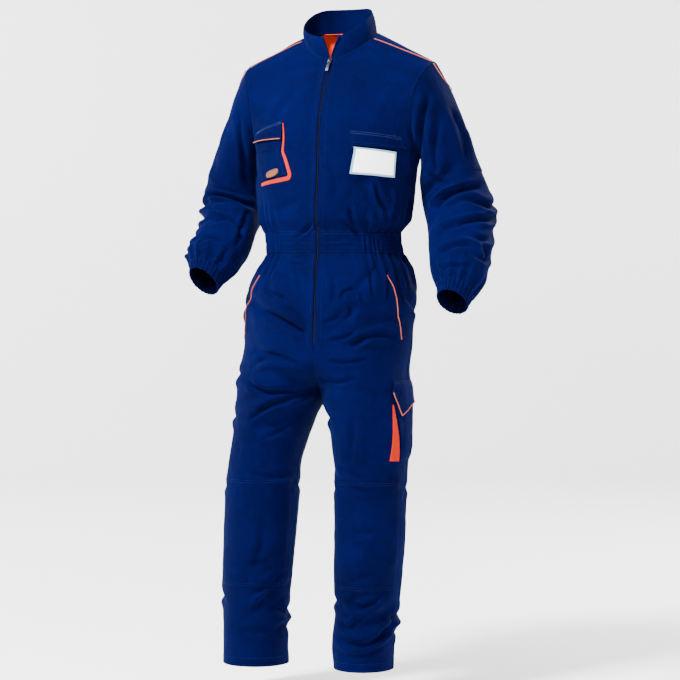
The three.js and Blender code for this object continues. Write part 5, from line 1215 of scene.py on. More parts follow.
def cuff_panel(side):
    rows = np.concatenate([steps((9, 9.12, 0.03), (9.12, 10, 0.08))])
    panel = make_panel(lambda r, s: sleeve_surface(side, r, s), rows, closed=208)
    at = panel.r[:, None] + 0 * panel.s
    casing = 0.8 * np.sin(np.pi * np.clip((at - 9.08) / 0.42, 0, 1)) + 0.8 * np.sin(np.pi
        * np.clip((at - 9.54) / 0.44, 0, 1))
    panel.push(cuff_form(panel.s, at) + casing - 0.9 * bump(at - 9.52, 0.03))
    PANELS[f"cuff_{side}"] = panel
    return panel


def band_panel(part, side):
    low = BAND_BOTTOM + np.array([0, 0.7, 1.5, 2.6, 4.2, 6.5, 9.5, 13, 17, 20.5, 23, 24.5, 26])
    rows = np.concatenate([low, (BAND_TOP + BAND_BOTTOM - low[:-1])[::-1]])
    zones = [(0, 3.7), (0.36, 1.7)] if part == "front" else [(0, 1.8)]
    panel = make_panel(lambda r, s: bodice_point(part, side, r, s), rows, zones=zones)
    z = panel.r[:, None] + 0 * panel.s
    start = panel.distance("start")
    held = ramp(panel.s, 0.37, 0.46) if part == "front" else 1
    puffed = 0.9 * np.abs(np.sin(np.pi * (z - BAND_BOTTOM) / 26)) * held
    h = gather_form(panel.s, z, part) + puffed - 0.9 * (bump(z - BAND_TOP, 1.1)
                                                        + bump(z - BAND_BOTTOM, 1.1))
    h = h + soft(panel.p, 0.5) + creases(panel.p, panel.way, "body") * 0.7
    if part == "front":
        panel.p[..., 0] += SIGN[side] * 2.5 * np.clip(1 - start / 18, 0, 1)
        h = h + 0.7 * ramp(start, 10.5, 8.5) * ramp(start, 0, 1.2)
    panel.push(h)
    PANELS[f"band_{part}_{side}"] = panel
    return panel


def trouser_panel(part, side):
    rows = np.concatenate([
        [HEM_Z, HEM_Z + 1.2, HEM_Z + 3],
        steps((HEM_Z + 6, HEM_Z + 30, 3.4), (HEM_Z + 30, BAND_BOTTOM - 70, 4.3),
              (BAND_BOTTOM - 70, BAND_BOTTOM - 13, 3.4)),
        BAND_BOTTOM - np.array(NEAR[:-1])[::-1],
    ])
    zones = [(0, 3.9), (0.36, 2.7)] if part == "front" else [(0, 2.8)]
    panel = make_panel(lambda r, s: trouser_point(part, side, r, s), rows, zones=zones)
    p, way, z = panel.p, panel.way, panel.r[:, None] + 0 * panel.s
    start, end, low, high = (panel.distance(e) for e in ("start", "end", "low", "high"))
    inseam = 0.4 + 0.6 * ramp(start, 0, 30)
    hem = 0.35 + 0.65 * ramp(low, 0, 60)
    h = (creases(p, way, "body") * inseam + soft(p, 1.0) * (0.5 + 0.5 * inseam)) * hem
    h = h + gather_form(panel.s, z, part)
    crotch = z > FORK_Z + 4
    felled = np.where(crotch, part == "back", part == "front")
    h = h + np.where(felled, seam_form(start, 7), seam_form(start, 0)) + seam_form(end,
        7 if part == "back" else 0)
    h = h + seam_form(high, 0) + pucker(p, start) + pucker(p, end) + 0.6 * pucker(p, high)
    h = h + 0.5 * ramp(low, 23, 21) - 0.5 * bump(low - 21, 1.2) + 0.7 * pucker(p, np.abs(low - 21) + 1)
    if part == "front":
        open_here = ramp(z, ZIP_BOTTOM - 2, ZIP_BOTTOM + 16)
        panel.p[..., 0] += SIGN[side] * 2.5 * np.clip(1 - start / 18, 0, 1) * open_here
        h = h + 0.7 * ramp(start, 10.5, 8.5) * ramp(start, 0, 1.2) * open_here
    panel.push(h)
    PANELS[f"trouser_{part}_{side}"] = panel
    return panel


for side in SIDES:
    bodice_panel("front", side)
    bodice_panel("back", side)
    yoke_panel(side)
    sleeve_panel(side)
    cuff_panel(side)
    for part in ("front", "back"):
        band_panel(part, side)
        trouser_panel(part, side)

for side in SIDES:
    cloth = dict(material=navy, slot="navy_cloth")
    dress(f"bodice_front_{side}_cloth", [PANELS[f"bodice_front_{side}"]], turns=[("start", 24)],
          replaces=[f"bodice_front_{side}"], **cloth)
    dress(f"yoke_{side}_cloth", [PANELS[f"yoke_{side}"]], replaces=[f"yoke_{side}"], **cloth)
    dress(f"sleeve_{side}_cloth", [PANELS[f"sleeve_{side}"]], replaces=[f"sleeve_{side}"], **cloth)
    dress(f"cuff_{side}_cloth", [PANELS[f"cuff_{side}"]], turns=[("high", 20)], replaces=[f"cuff_{side}"],
          **cloth)
    dress(f"trouser_front_{side}_cloth", [PANELS[f"trouser_front_{side}"]], turns=[("low", 22)],
          replaces=[f"trouser_front_{side}"], **cloth)
    dress(f"trouser_back_{side}_cloth", [PANELS[f"trouser_back_{side}"]], turns=[("low", 22)],
          replaces=[f"trouser_back_{side}"], **cloth)
dress("bodice_back_cloth", [PANELS[f"bodice_back_{side}"] for side in SIDES], navy,
      replaces=["bodice_back"], slot="navy_cloth")
dress("waistband_cloth", [PANELS[f"band_{part}_{side}"] for part in ("front", "back") for side in SIDES],
      navy, replaces=["waistband"], slot="navy_cloth")

# The collar: an outer and an inner layer, turned at the rim and at its front ends
def collar_panel():
    ups = np.array([-0.035, 0, 0.02, 0.05, 0.1, 0.2, 0.3, 0.4, 0.5, 0.6, 0.7, 0.78, 0.84, 0.88, 0.92, 0.95,
                    0.975, 1])
    shares = np.concatenate([np.array([0, 0.004, 0.009, 0.016, 0.026, 0.038, 0.05]),
                             np.linspace(0.062, 1, 76)])
    halves = []
    for side in SIDES:
        p, way = collar_point(side, ups[:, None], shares[None, :])
        halves.append((p, way))
    p = np.concatenate([halves[1][0], halves[0][0][:, ::-1][:, 1:]], axis=1)
    way = np.concatenate([halves[1][1], halves[0][1][:, ::-1][:, 1:]], axis=1)
    s = np.concatenate([-(1 - shares), (1 - shares)[::-1][1:]])
    panel = Panel(p, np.tile(s, (len(ups), 1)), ups, way)
    high, start, end = panel.distance("high"), panel.distance("start"), panel.distance("end")
    edge = np.minimum(high, np.minimum(start, end))
    up = ups[:, None]
    h = 0.7 * np.sin(np.pi * np.clip(up, 0, 1)) + soft(p * 1.3, 0.75) * ramp(up, 0, 0.4)
    h = h - 0.45 * bump(edge - 5.5, 1.2) + 0.5 * pucker(p, np.abs(edge - 5.5)
                                                        + 1) - 0.8 * bump(panel.distance("low"), 1.2)
    panel.push(h)
    PANELS["collar"] = panel
    return panel


thick("collar_cloth", collar_panel(), navy, wall=2.6, replaces=["collar"], slot="navy_cloth")

# Pieces laid on the panels: (share, v) places on the panel below, moved out by `lift` mm. Each is
# sewn down along the edges named in `sewn`, and stands free at the others.
LAID = [
    dict(piece="chest_pocket_right", on="bodice_front_right", material=navy, wall=1.2,
         sewn="start end low", seams=(1.8, 7), lines=[
        dict(s0=0.278, v0=-350, s1=0.600, v1=-361, l0=2.2, l1=2.6),
        dict(s0=0.396, v0=-246, s1=0.885, v1=-243, l0=2.2, l1=2.8)]),
    dict(piece="chest_flap_right", on="bodice_front_right", material=navy_patch, wall=1.6, sewn="high",
         seams=(), lines=[
        dict(s0=0.372, v0=-264, s1=0.904, v1=-259, l0=5.0, l1=6.2),
        dict(s0=0.410, v0=-230, s1=0.880, v1=-238, l0=4.4, l1=5.4),
        dict(s0=0.425, v0=-215, s1=0.872, v1=-226, l0=2.4, l1=2.4)]),
    dict(piece="chest_flap_left", on="bodice_front_left", material=navy_patch, wall=1.4, sewn="high",
         seams=(), lines=[
        dict(s0=0.262, v0=-283, s1=0.745, v1=-289, l0=2.8, l1=3.8),
        dict(s0=0.282, v0=-246, s1=0.800, v1=-254, l0=2.2, l1=2.4)]),
    dict(piece="pen_pocket", on="sleeve_left", material=navy_patch, wall=1.1, sewn="start end high",
         seams=(1.8,), lines=[
        dict(s0=0.424, v0=3.42, s1=0.545, v1=3.42, l0=2.0, l1=2.0),
        dict(s0=0.424, v0=2.30, s1=0.545, v1=2.30, l0=2.4, l1=2.4)]),
    dict(piece="cargo_gusset", on="leg_left", material=orange, wall=1.2, sewn="start", seams=(), lines=[
        dict(s0=0.7526, v0=-1037, s1=0.8450, v1=-1038, l0=2.0, l1=2.8),
        dict(s0=0.7950, v0=-903, s1=0.8020, v1=-903, l0=2.0, l1=2.4)]),
    dict(piece="cargo_pocket", on="leg_left", material=navy, wall=1.4, sewn="end low", seams=(1.8, 7),
         lines=[
        dict(s0=0.860, v0=-1038, s1=1.36, v1=-1034, l0=3.6, l1=3.4),
        dict(s0=0.818, v0=-892, s1=1.36, v1=-892, l0=2.8, l1=2.8)]),
]


def laid_grid(on, lines, step=2.4):
    """A grid of places from lines of named ends, with its share, v and lift at each point."""
    ends = np.array([[row["s0"], row["v0"], row["s1"], row["v1"], row["l0"], row["l1"]] for row in lines])
    a, _ = place(on, ends[:, 0], ends[:, 1])
    b, _ = place(on, ends[:, 2], ends[:, 3])
    wide = np.linalg.norm(a - b, axis=1).max()
    tall = np.concatenate([[0], np.cumsum((np.linalg.norm(np.diff(a, axis=0), axis=1)
                                           + np.linalg.norm(np.diff(b, axis=0), axis=1)) / 2)])
    rim = np.array([0, 0.5, 1.2, 2.2, 3.6])
    across = np.concatenate([rim, np.linspace(5.5, wide - 5.5, max(3, round(wide / step))),
                             (wide - rim)[::-1]]) / wide
    up = np.concatenate([rim, np.linspace(5.5, tall[-1] - 5.5, max(3, round(tall[-1] / step))),
                         (tall[-1] - rim)[::-1]])
    row = [np.interp(up, tall, ends[:, k])[:, None] for k in range(6)]
    t = across[None, :]
    return lerp(row[0], row[2], t), lerp(row[1], row[3], t), lerp(row[4], row[5], t)


def laid_panel(on, s, v, lift, sewn="", crown=0.0, calm=0.35, key=0.0):
    """The grid as a panel; where it is sewn it lies close, and elsewhere it stands off."""
    p, n = place(on, s, v)
    middle = n.mean(axis=(0, 1))
    n = unit(n * 0.5 + unit(middle) * 0.5)
    flat = Panel(p, s, np.arange(len(p)), n)
    edges = ("start", "end", "low", "high")
    near = np.full(s.shape, 99.0)
    for edge in edges:
        if edge in sewn:
            near = np.minimum(near, flat.distance(edge))
    free = np.full(s.shape, 99.0)
    for edge in edges:
        if edge not in sewn:
            free = np.minimum(free, flat.distance(edge))
    rim = np.minimum(near, free)
    height = 1.2 + (lift - 1.2) * ramp(near, 0, 9) + crown * ramp(rim, 4, 26)
    height = height + calm * (1.8 * noise3(p / 26 + key) + 0.9 * noise3(p / 11 + key + 5)) * ramp(near, 0,
        8)
    height = height + 0.5 * pucker(p + 50, near + 0.8) * (near < 60)
    for away in (2.0, 7.2):
        height = height - 0.3 * bump(rim - away, 0.9)
    flat.push(height)
    return flat


def joined(piece):
    """Joins the faces of a closed piece at its edges."""
    import bmesh
    made = bmesh.new()
    made.from_mesh(piece.data)
    bmesh.ops.remove_doubles(made, verts=made.verts, dist=1e-6)
    bmesh.ops.recalc_face_normals(made, faces=made.faces)
    made.to_mesh(piece.data)
    made.free()
    return piece


def lay(name, panel, material, wall, slot, replaces):
    piece = joined(thick(f"{name}_cloth", panel, material, wall=wall, replaces=replaces, slot=slot))
    PANELS[name] = panel
    return piece


for row in LAID:
    s, v, raised = laid_grid(row["on"], row["lines"])
    panel = laid_panel(row["on"], s, v, raised, row["sewn"], key=len(row["piece"]))
    slot = "orange_cloth" if row["material"] is orange else "navy_cloth"
    lay(row["piece"], panel, row["material"], row["wall"], slot, [row["piece"]])
    for edge in ("start", "end", "low", "high"):
        for away in row["seams"]:
            if edge in row["sewn"]:
                sew_edge(panel, edge, [away])

# The pointed flap of the thigh pocket: upright lines from the lower edge to the upper
CARGO_FLAP = [
    dict(s0=0.790, v0=-876, s1=0.778, v1=-846, l0=6.0),
    dict(s0=0.856, v0=-934, s1=0.850, v1=-846, l0=6.0),
    dict(s0=0.889, v0=-928, s1=0.889, v1=-846, l0=6.1),
    dict(s0=1.000, v0=-908, s1=1.000, v1=-846, l0=6.2),
    dict(s0=1.125, v0=-900, s1=1.125, v1=-846, l0=6.4),
    dict(s0=1.250, v0=-892, s1=1.250, v1=-846, l0=6.6),
    dict(s0=1.375, v0=-885, s1=1.375, v1=-846, l0=6.6),
]


def cargo_flap_panel():
    ends = np.array([[row["s0"], row["v0"], row["s1"], row["v1"], row["l0"]] for row in CARGO_FLAP])
    at = np.concatenate([np.linspace(0, 1, 22)[:-1], np.linspace(1, 2, 8)[:-1], np.linspace(2, 6, 52)])
    row = [np.interp(at, np.arange(7), ends[:, k])[None, :] for k in range(5)]
    up = np.array([0, 0.012, 0.03, 0.06, 0.1, *np.linspace(0.14, 0.86, 20), 0.9, 0.94, 0.97, 0.988, 1])[:,
        None]
    s, v = lerp(row[0], row[2], up), lerp(row[1], row[3], up)
    return laid_panel("leg_left", s, v, lerp(row[4], 3, up), "high end", key=3.0)


lay("cargo_flap", cargo_flap_panel(), navy_patch, 1.6, "navy_cloth", ["cargo_flap"])


# Bands of cloth along a line of (share, v, width) places, and round piping along a line of places
def line_on(on, stops, step=2.0, smooth=False):
    """Even places along a line through (share, v) stops, with normals and any further columns."""
    stops = np.array(stops, float)
    fine = np.linspace(0, len(stops) - 1, 40 * (len(stops) - 1) + 1)
    values = np.stack([np.interp(fine, np.arange(len(stops)), stops[:, k]) for k in range(stops.shape[1])],
                      axis=1)
    if smooth:
        weight = np.ones(25) / 25
        padded = np.concatenate([values[:1].repeat(12, 0), values, values[-1:].repeat(12, 0)])
        ends = values[[0, -1]].copy()
        values = np.stack([np.convolve(padded[:, k], weight, "valid") for k in range(values.shape[1])],
                          axis=1)
        values[[0, -1]] = ends
    p, n = place(on, values[:, 0], values[:, 1])
    along = np.concatenate([[0], np.cumsum(np.linalg.norm(np.diff(p, axis=0), axis=1))])
    at = np.linspace(0, along[-1], max(4, round(along[-1] / step)))
    read = lambda data: np.stack([np.interp(at, along, data[:, k]) for k in range(data.shape[1])], axis=1)
    return read(p), unit(read(n)), read(values), at


def smoothed(data, times=3):
    for _ in range(times):
        inner = (data[:-2] + 2 * data[1:-1] + data[2:]) / 4
        data = np.concatenate([data[:1], inner, data[-1:]])
    return data


def band_piece(name, on, stops, lift, wall=1.2, material=orange, replaces=()):
    p, n, values, at = line_on(on, stops, step=2.2, smooth=True)
    p = smoothed(p, 2)
    way = unit(np.gradient(p, axis=0))
    side = unit(np.cross(way, n))
    x = np.array([-1, -0.96, -0.85, -0.6, -0.3, 0, 0.3, 0.6, 0.85, 0.96, 1])
    wide = values[:, 2] / 2
    grid = p[:, None] + side[:, None] * (x[None, :, None] * wide[:, None, None])
    normal = np.repeat(n[:, None], len(x), axis=1)
    panel = Panel(grid, np.tile(x, (len(p), 1)), np.arange(len(p)), normal)
    panel.push(lift + 0.5 * (1 - x[None, :] ** 2) + 0.6 * noise3(grid / 14) + 0.3 * noise3(grid / 6))
    lay(name, panel, material, wall, "orange_cloth", replaces)
    return panel


def piping(name, on, stops, lift, wide=2.3, high=2.5, replaces=(), smooth=False, material=None):
    """A cord wrapped in cloth: a round tube along the line, closed at its ends."""
    p, n, values, at = line_on(on, stops, step=1.6, smooth=smooth)
    p, n = smoothed(p, 3), unit(smoothed(n, 3))
    way = unit(np.gradient(p, axis=0))
    side = unit(np.cross(way, n))
    thin = np.clip(np.minimum(at, at[-1] - at) / 1.6, 0.45, 1) ** 0.5
    wave = 0.18 * noise3(p / 9)[:, None] + 0.1 * np.sin(at * 2 * np.pi / 3.2)[:, None]
    angles = np.linspace(0, 2 * np.pi, 13)[None, :, None]
    size = thin[:, None, None]
    ring = p[:, None] + n[:, None] * (lift + wave[..., None] + np.sin(angles) * high / 2 * size)
    ring = ring + side[:, None] * (np.cos(angles) * wide / 2 * size)
    uv = np.stack([np.tile(np.linspace(0, 10, 13), (len(p), 1)), np.repeat(at[:, None], 13, axis=1)],
                  axis=-1)
    grids = [(ring, uv, True)]
    for end in (0, -1):
        cap = np.stack([ring[end], np.repeat(ring[end].mean(axis=0)[None], 13, axis=0)], axis=0)
        grids.append((cap, np.stack([uv[end]] * 2, axis=0), end == -1))
    piece = add_mesh(f"{name}_cloth", grids, material or piping_cloth, slot="orange_cloth",
                     replaces=replaces)
    return joined(piece)


band_piece("chest_gusset_right", "bodice_front_right", [
    (0.404, -222, 2.6), (0.352, -262, 5.0), (0.238, -349, 9.8), (0.246, -357, 11.0), (0.266, -360,
        9.8), (0.606, -371, 7.6),
], 2.0, replaces=["chest_gusset_right"])
piping("chest_piping_right", "bodice_front_right", [(0.380, -261.5), (0.898, -256.5)], 7.2,
       replaces=["chest_piping_right"])
piping("cargo_piping", "leg_left", [(0.792, -874), (0.857, -930), (1.0, -905), (1.375, -883)], 7.4,
       replaces=["cargo_piping"])
for side in SIDES:
    piping(f"slant_piping_{side}", f"trouser_front_{side}", [(0.59, -592), (0.6955, -668), (0.7854, -747)],
           1.9,
           replaces=[f"slant_piping_{side}"], smooth=True)
    piping(f"shoulder_piping_{side}", f"yoke_{side}", [(0.04, 0.035), (0.96, 0.035)], 1.8,
           replaces=[f"shoulder_piping_{side}"])
    piping(f"cap_piping_{side}", f"sleeve_{side}", [
        (0.459, 0.09), (0.464, 0.5), (0.48, 0.85), (0.52, 1.08), (0.575, 1.05), (0.62, 0.75), (0.645,
            0.4), (0.65, 0.12),
    ], 1.9, replaces=[f"cap_piping_{side}"], smooth=True)

# Knee patches
for side in SIDES:
    s = np.linspace(1 / 9, 8 / 9, 64)[None, :]
    rows = np.concatenate([[-1350.1, -1349.5, -1348.6, -1347], np.linspace(-1344, -1095, 72),
                           [-1092, -1090.4, -1089.5, -1088.9]])[:, None]
    grid_s, grid_v = np.broadcast_arrays(s, rows)
    panel = laid_panel(f"trouser_front_{side}", grid_s, grid_v, 1.75, "low high start end", calm=0.2,
                       key=9.0)
    lay(f"knee_patch_{side}", panel, navy_patch, 1.1, "navy_cloth", [f"knee_patch_{side}"])
    for edge in ("start", "end", "low", "high"):
        sew_edge(panel, edge, [1.8, 7.2])

# The blank label on the chest pocket: a pill with a raised rim
LABEL_AT = (0.4225, -345.2)
LABEL_SLANT = math.radians(13)
LABEL_HALF = (21.0, 8.2)
LABEL_LIFT, LABEL_RIM, LABEL_EDGE = 4.6, 0.7, 0.9


def label_panel():
    """A fan of rings round the label's centre, raised near the rim and turned down at the edge."""
    p0, n0 = place("bodice_front_right", *LABEL_AT)
    slant = vec(math.cos(LABEL_SLANT), 0, math.sin(LABEL_SLANT))
    along = unit(slant - n0 * (slant @ n0))
    up = unit(np.cross(n0, along))
    up = up * np.sign(up[2])
    rings = np.array([0.0, 0.25, 0.5, 0.7, 0.8, 0.86, 0.91, 0.95, 0.98, 1.0])[:, None]
    angle = np.linspace(0, 2 * np.pi, 65)[None, :]
    c, s = np.cos(angle), np.sin(angle)
    round_x = np.sign(c) * np.abs(c) ** 0.62 * LABEL_HALF[0]
    round_y = np.sign(s) * np.abs(s) ** 0.75 * LABEL_HALF[1]
    p = p0 + along * (rings * round_x)[..., None] + up * (rings * round_y)[..., None]
    edge = np.clip((rings - 0.95) / 0.05, 0, 1) ** 2
    raised = LABEL_LIFT + LABEL_RIM * bump(rings - 0.88, 0.05) - LABEL_EDGE * edge
    return p + n0 * (raised + 0 * angle)[..., None], n0


label_points, label_normal = label_panel()
label_uv = label_points[..., [0, 2]]
label_base = label_points[-1:] - label_normal * 1.2
label_piece = add_mesh("chest_label_right_cloth", [
    (label_points, label_uv, False),
    (np.concatenate([label_points[-1:], label_base]), np.concatenate([label_uv[-1:]] * 2), False),
    (np.concatenate([label_base, np.repeat(label_base.mean(axis=1, keepdims=True), 65, axis=1)]),
     np.concatenate([label_uv[-1:]] * 2), False),
], label_cloth, slot="label", replaces=["chest_label_right"])
joined(label_piece)

# The badge holder: a clear sleeve welded round its rim, and a blank card inside
def badge(name, lines, lift, wall, material, slot, rim):
    s, v, _ = laid_grid("bodice_front_left", lines, step=3)
    p, n = place("bodice_front_left", s, v)
    flat_n = unit(n.mean(axis=(0, 1)))
    # a stiff card bends in one direction only: least-squares plane with a slight bow
    middle = p.mean(axis=(0, 1))
    across = unit(p[:, -1].mean(axis=0) - p[:, 0].mean(axis=0))
    up = unit(np.cross(flat_n, across))
    x, y, out = (p - middle) @ across, (p - middle) @ up, (p - middle) @ flat_n
    terms = np.stack([np.ones_like(x), x, y, x * x], axis=-1).reshape(-1, 4)
    fit = np.linalg.lstsq(terms, out.ravel(), rcond=None)[0]
    level = (terms @ fit).reshape(x.shape)
    gap = (out - level).max()
    smooth = middle + x[..., None] * across + y[..., None] * up + (level + min(gap, 2.5))[...,
        None] * flat_n
    panel = Panel(smooth, s, np.arange(len(p)), np.repeat(np.repeat(flat_n[None, None], p.shape[0], 0),
                                                          p.shape[1], 1))
    near = np.minimum(np.minimum(panel.distance("start"), panel.distance("end")),
                      np.minimum(panel.distance("low"), panel.distance("high")))
    panel.push(lift + rim(near))
    PANELS[name] = panel
    return joined(thick(name, panel, material, wall=wall, replaces=[name.replace("_piece", "")], slot=slot))


def holder_rim(d):
    """The rim's height at a distance from its edge: a weld line, and a ridge inside it."""
    return 0.5 * ramp(d, 0, 1) - 0.45 * bump(d - 2.6, 0.7) + 0.35 * bump(d - 4.6, 0.8)


badge("badge_holder_piece", [
    dict(s0=0.2503, v0=-351, s1=0.6590, v1=-358.7, l0=2, l1=2),
    dict(s0=0.2653, v0=-286.5, s1=0.6266, v1=-298.2, l0=2, l1=2),
], 1.7, 0.9, vinyl, "badge_vinyl", holder_rim)
badge("badge_card_piece", [
    dict(s0=0.27, v0=-346.5, s1=0.64, v1=-353.5, l0=3.6, l1=3.6),
    dict(s0=0.282, v0=-291.5, s1=0.609, v1=-303, l0=3.6, l1=3.6),
], 2.7, 0.6, card, "badge_card", lambda d: 0.25 * ramp(d, 0, 1.2))

# The facing inside the back neck
def neck_facing_panel():
    halves = []
    for side in SIDES:
        panel = PANELS[f"bodice_back_{side}"]
        rows = np.linspace(row_at_height("back", -60), panel.r[-1] - 4, 40)
        shares = np.linspace(0, 0.375, 30)
        s, r = np.broadcast_arrays(shares[None, :], rows[:, None])
        keep = panel.to_row
        panel.to_row = lambda v: v
        p, n = panel.at(s, r)
        panel.to_row = keep
        halves.append((p, n))
    p = np.concatenate([halves[1][0][:, ::-1], halves[0][0][:, 1:]], axis=1)
    n = np.concatenate([halves[1][1][:, ::-1], halves[0][1][:, 1:]], axis=1)
    return p, n


facing_points, facing_normals = neck_facing_panel()
facing = Panel(facing_points, np.tile(np.linspace(-1, 1, facing_points.shape[1]), (len(facing_points), 1)),
               np.arange(len(facing_points)), -facing_normals)
facing.push(1.6 + 0.4 * noise3(facing_points / 30))
# The facing takes the brightened orange copy: painted light inside the neck
joined(thick("neck_facing_cloth", facing, facing_cloth_painted_light, wall=0.9, replaces=["neck_facing"],
             slot="orange_cloth"))

# The zip: a tape behind the opening, two rows of coil teeth, the slider and its pull tab
def zip_line(offset, sink, low=-781, high=-70, step=4.0):
    z = np.arange(low, high, step)
    v = np.clip(z, None, BAND_TOP)
    left_p, left_n = [], []
    for height in z:
        below = "band_front" if height > BAND_BOTTOM else "trouser_front"
        name = "bodice_front" if height > BAND_TOP else below
        pair = [PANELS[f"{name}_{side}"] for side in SIDES]
        found = [panel.at(0.0, height) for panel in pair]
        left_p.append((found[0][0] + found[1][0]) / 2)
        left_n.append(unit(found[0][1] + found[1][1]))
    p, n = smoothed(np.array(left_p), 8), unit(smoothed(np.array(left_n), 8))
    n[:, 0] = 0
    n = unit(n)
    return p + n * sink + vec(offset, 0, 0), n


tape_points, tape_normals = zip_line(0, -2.2)
x = np.array([-15, -14.6, -12, -8, -4, -1, 0, 1, 4, 8, 12, 14.6, 15.0])
tape_grid = tape_points[:, None] + x[None, :, None] * vec(1, 0, 0)
tape_grid = tape_grid + tape_normals[:, None] * (-0.9 * np.abs(x / 15) ** 1.2)[None, :, None]
tape_panel = Panel(tape_grid, np.tile(x, (len(tape_grid), 1)), np.arange(len(tape_grid)),
                   np.repeat(tape_normals[:, None], len(x), 1))
joined(thick("zip_tape_cloth", tape_panel, tape_cloth, wall=0.7, replaces=["zip_tape"], slot="zip_tape"))


def loose_faces(name, verts, faces, material, body="garment", replaces=(), smooth=True):
    """A mesh of many alike things: verts (count, each, 3) in mm, and the faces of one."""
    count, each = verts.shape[:2]
    per = np.concatenate([np.array(f) for f in faces])
    sizes = np.array([len(f) for f in faces])
    all_loops = (per[None, :] + each * np.arange(count)[:, None]).ravel()
    all_starts = np.concatenate([[0], np.cumsum(np.tile(sizes, count))[:-1]])
    mesh = bpy.data.meshes.new(name)
    mesh.vertices.add(count * each)
    mesh.vertices.foreach_set("co", (verts / 1000).astype(np.float32).ravel())
    mesh.loops.add(len(all_loops))
    mesh.loops.foreach_set("vertex_index", all_loops.astype(np.int32))
    mesh.polygons.add(len(all_starts))
    mesh.polygons.foreach_set("loop_start", all_starts.astype(np.int32))
    mesh.update(calc_edges=True)
    mesh.polygons.foreach_set("use_smooth", np.full(len(all_starts), smooth))
    mesh.validate()
    piece = bpy.data.objects.new(name, mesh)
    bpy.context.scene.collection.objects.link(piece)
    mesh.materials.append(material)
    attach(piece, body)
    if replaces:
        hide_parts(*replaces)
    made_pieces[name] = piece
    return piece


def teeth(name, pitch=1.7):
    base, normals = zip_line(0, -0.9, step=pitch)
    verts = []
    for k, sign in ((0, 1), (0.5, -1)):
        p = base + k * np.gradient(base, axis=0)
        way = unit(np.gradient(base, axis=0))
        x0, x1 = sign * -0.5, sign * 2.6
        corners = []
        for x, tall, high in ((x0, 0.38, 0.5), (lerp(x0, x1, 0.4), 0.5, 0.72), (x1, 0.3, 0.45)):
            for dw, dn in ((-1, -0.6), (-0.6, 1), (0.6, 1), (1, -0.6)):
                corners.append(p + vec(x, 0, 0) + way * (dw * tall) + normals * (dn * high))
        verts.append(np.stack(corners, axis=1))
    faces = [(0, 1, 2, 3), (11, 10, 9, 8)]
    for ring in (0, 4):
        for k in range(4):
            j = (k + 1) % 4
            faces.append((ring + j, ring + k, ring + 4 + k, ring + 4 + j))
    verts = np.concatenate(verts)
    return joined(loose_faces(name, verts, faces, teeth_plastic))


teeth("zip_teeth")


def rounded(node, name, material, body, width=0.0003):
    """A finer copy of a hard solid, its edges rounded."""
    import bmesh
    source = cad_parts[node]
    mesh = source.data.copy()
    mesh.name = name
    piece = bpy.data.objects.new(name, mesh)
    bpy.context.scene.collection.objects.link(piece)
    piece.matrix_world = source.matrix_world
    mesh.materials.clear()
    mesh.materials.append(material)
    made = bmesh.new()
    made.from_mesh(mesh)
    bmesh.ops.remove_doubles(made, verts=made.verts, dist=1e-6)
    bmesh.ops.dissolve_limit(made, angle_limit=math.radians(1), verts=made.verts, edges=made.edges)
    sharp = [e for e in made.edges if len(e.link_faces) == 2 and e.calc_face_angle(0) > math.radians(28)]
    bmesh.ops.bevel(made, geom=sharp, offset=width, segments=3, profile=0.5, affect="EDGES",
                    clamp_overlap=True)
    bmesh.ops.recalc_face_normals(made, faces=made.faces)
    made.to_mesh(mesh)
    made.free()
    mesh.polygons.foreach_set("use_smooth", np.ones(len(mesh.polygons), bool))
    mesh.update()
    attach(piece, body)
    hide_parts(node)
    return piece


rounded("zip_slider", "zip_slider_metal", nickel, "garment")
rounded("zip_pull_tab", "zip_pull_tab_metal", nickel, "pull_tab", 0.00025)

# Top stitching
def sew_path(panel, edge, stops, kind="navy", steps_each=14, lift=0.0):
    """Stitches through stops (away from the edge in mm, row value)."""
    stops = np.array(stops, float)
    fine = np.linspace(0, len(stops) - 1, steps_each * (len(stops) - 1) + 1)
    away, row = (np.interp(fine, np.arange(len(stops)), stops[:, k]) for k in (0, 1))
    shares = []
    d = panel.distance(edge)
    for a, r in zip(away, row):
        i = int(np.clip(np.searchsorted(panel.r, panel.to_row(r)), 0, len(panel.r) - 1))
        order = np.argsort(d[i])
        shares.append(np.interp(a, d[i][order], panel.s[i][order]))
    p, n = panel.at(np.array(shares), row)
    sew(p + n * lift, n, kind=kind)


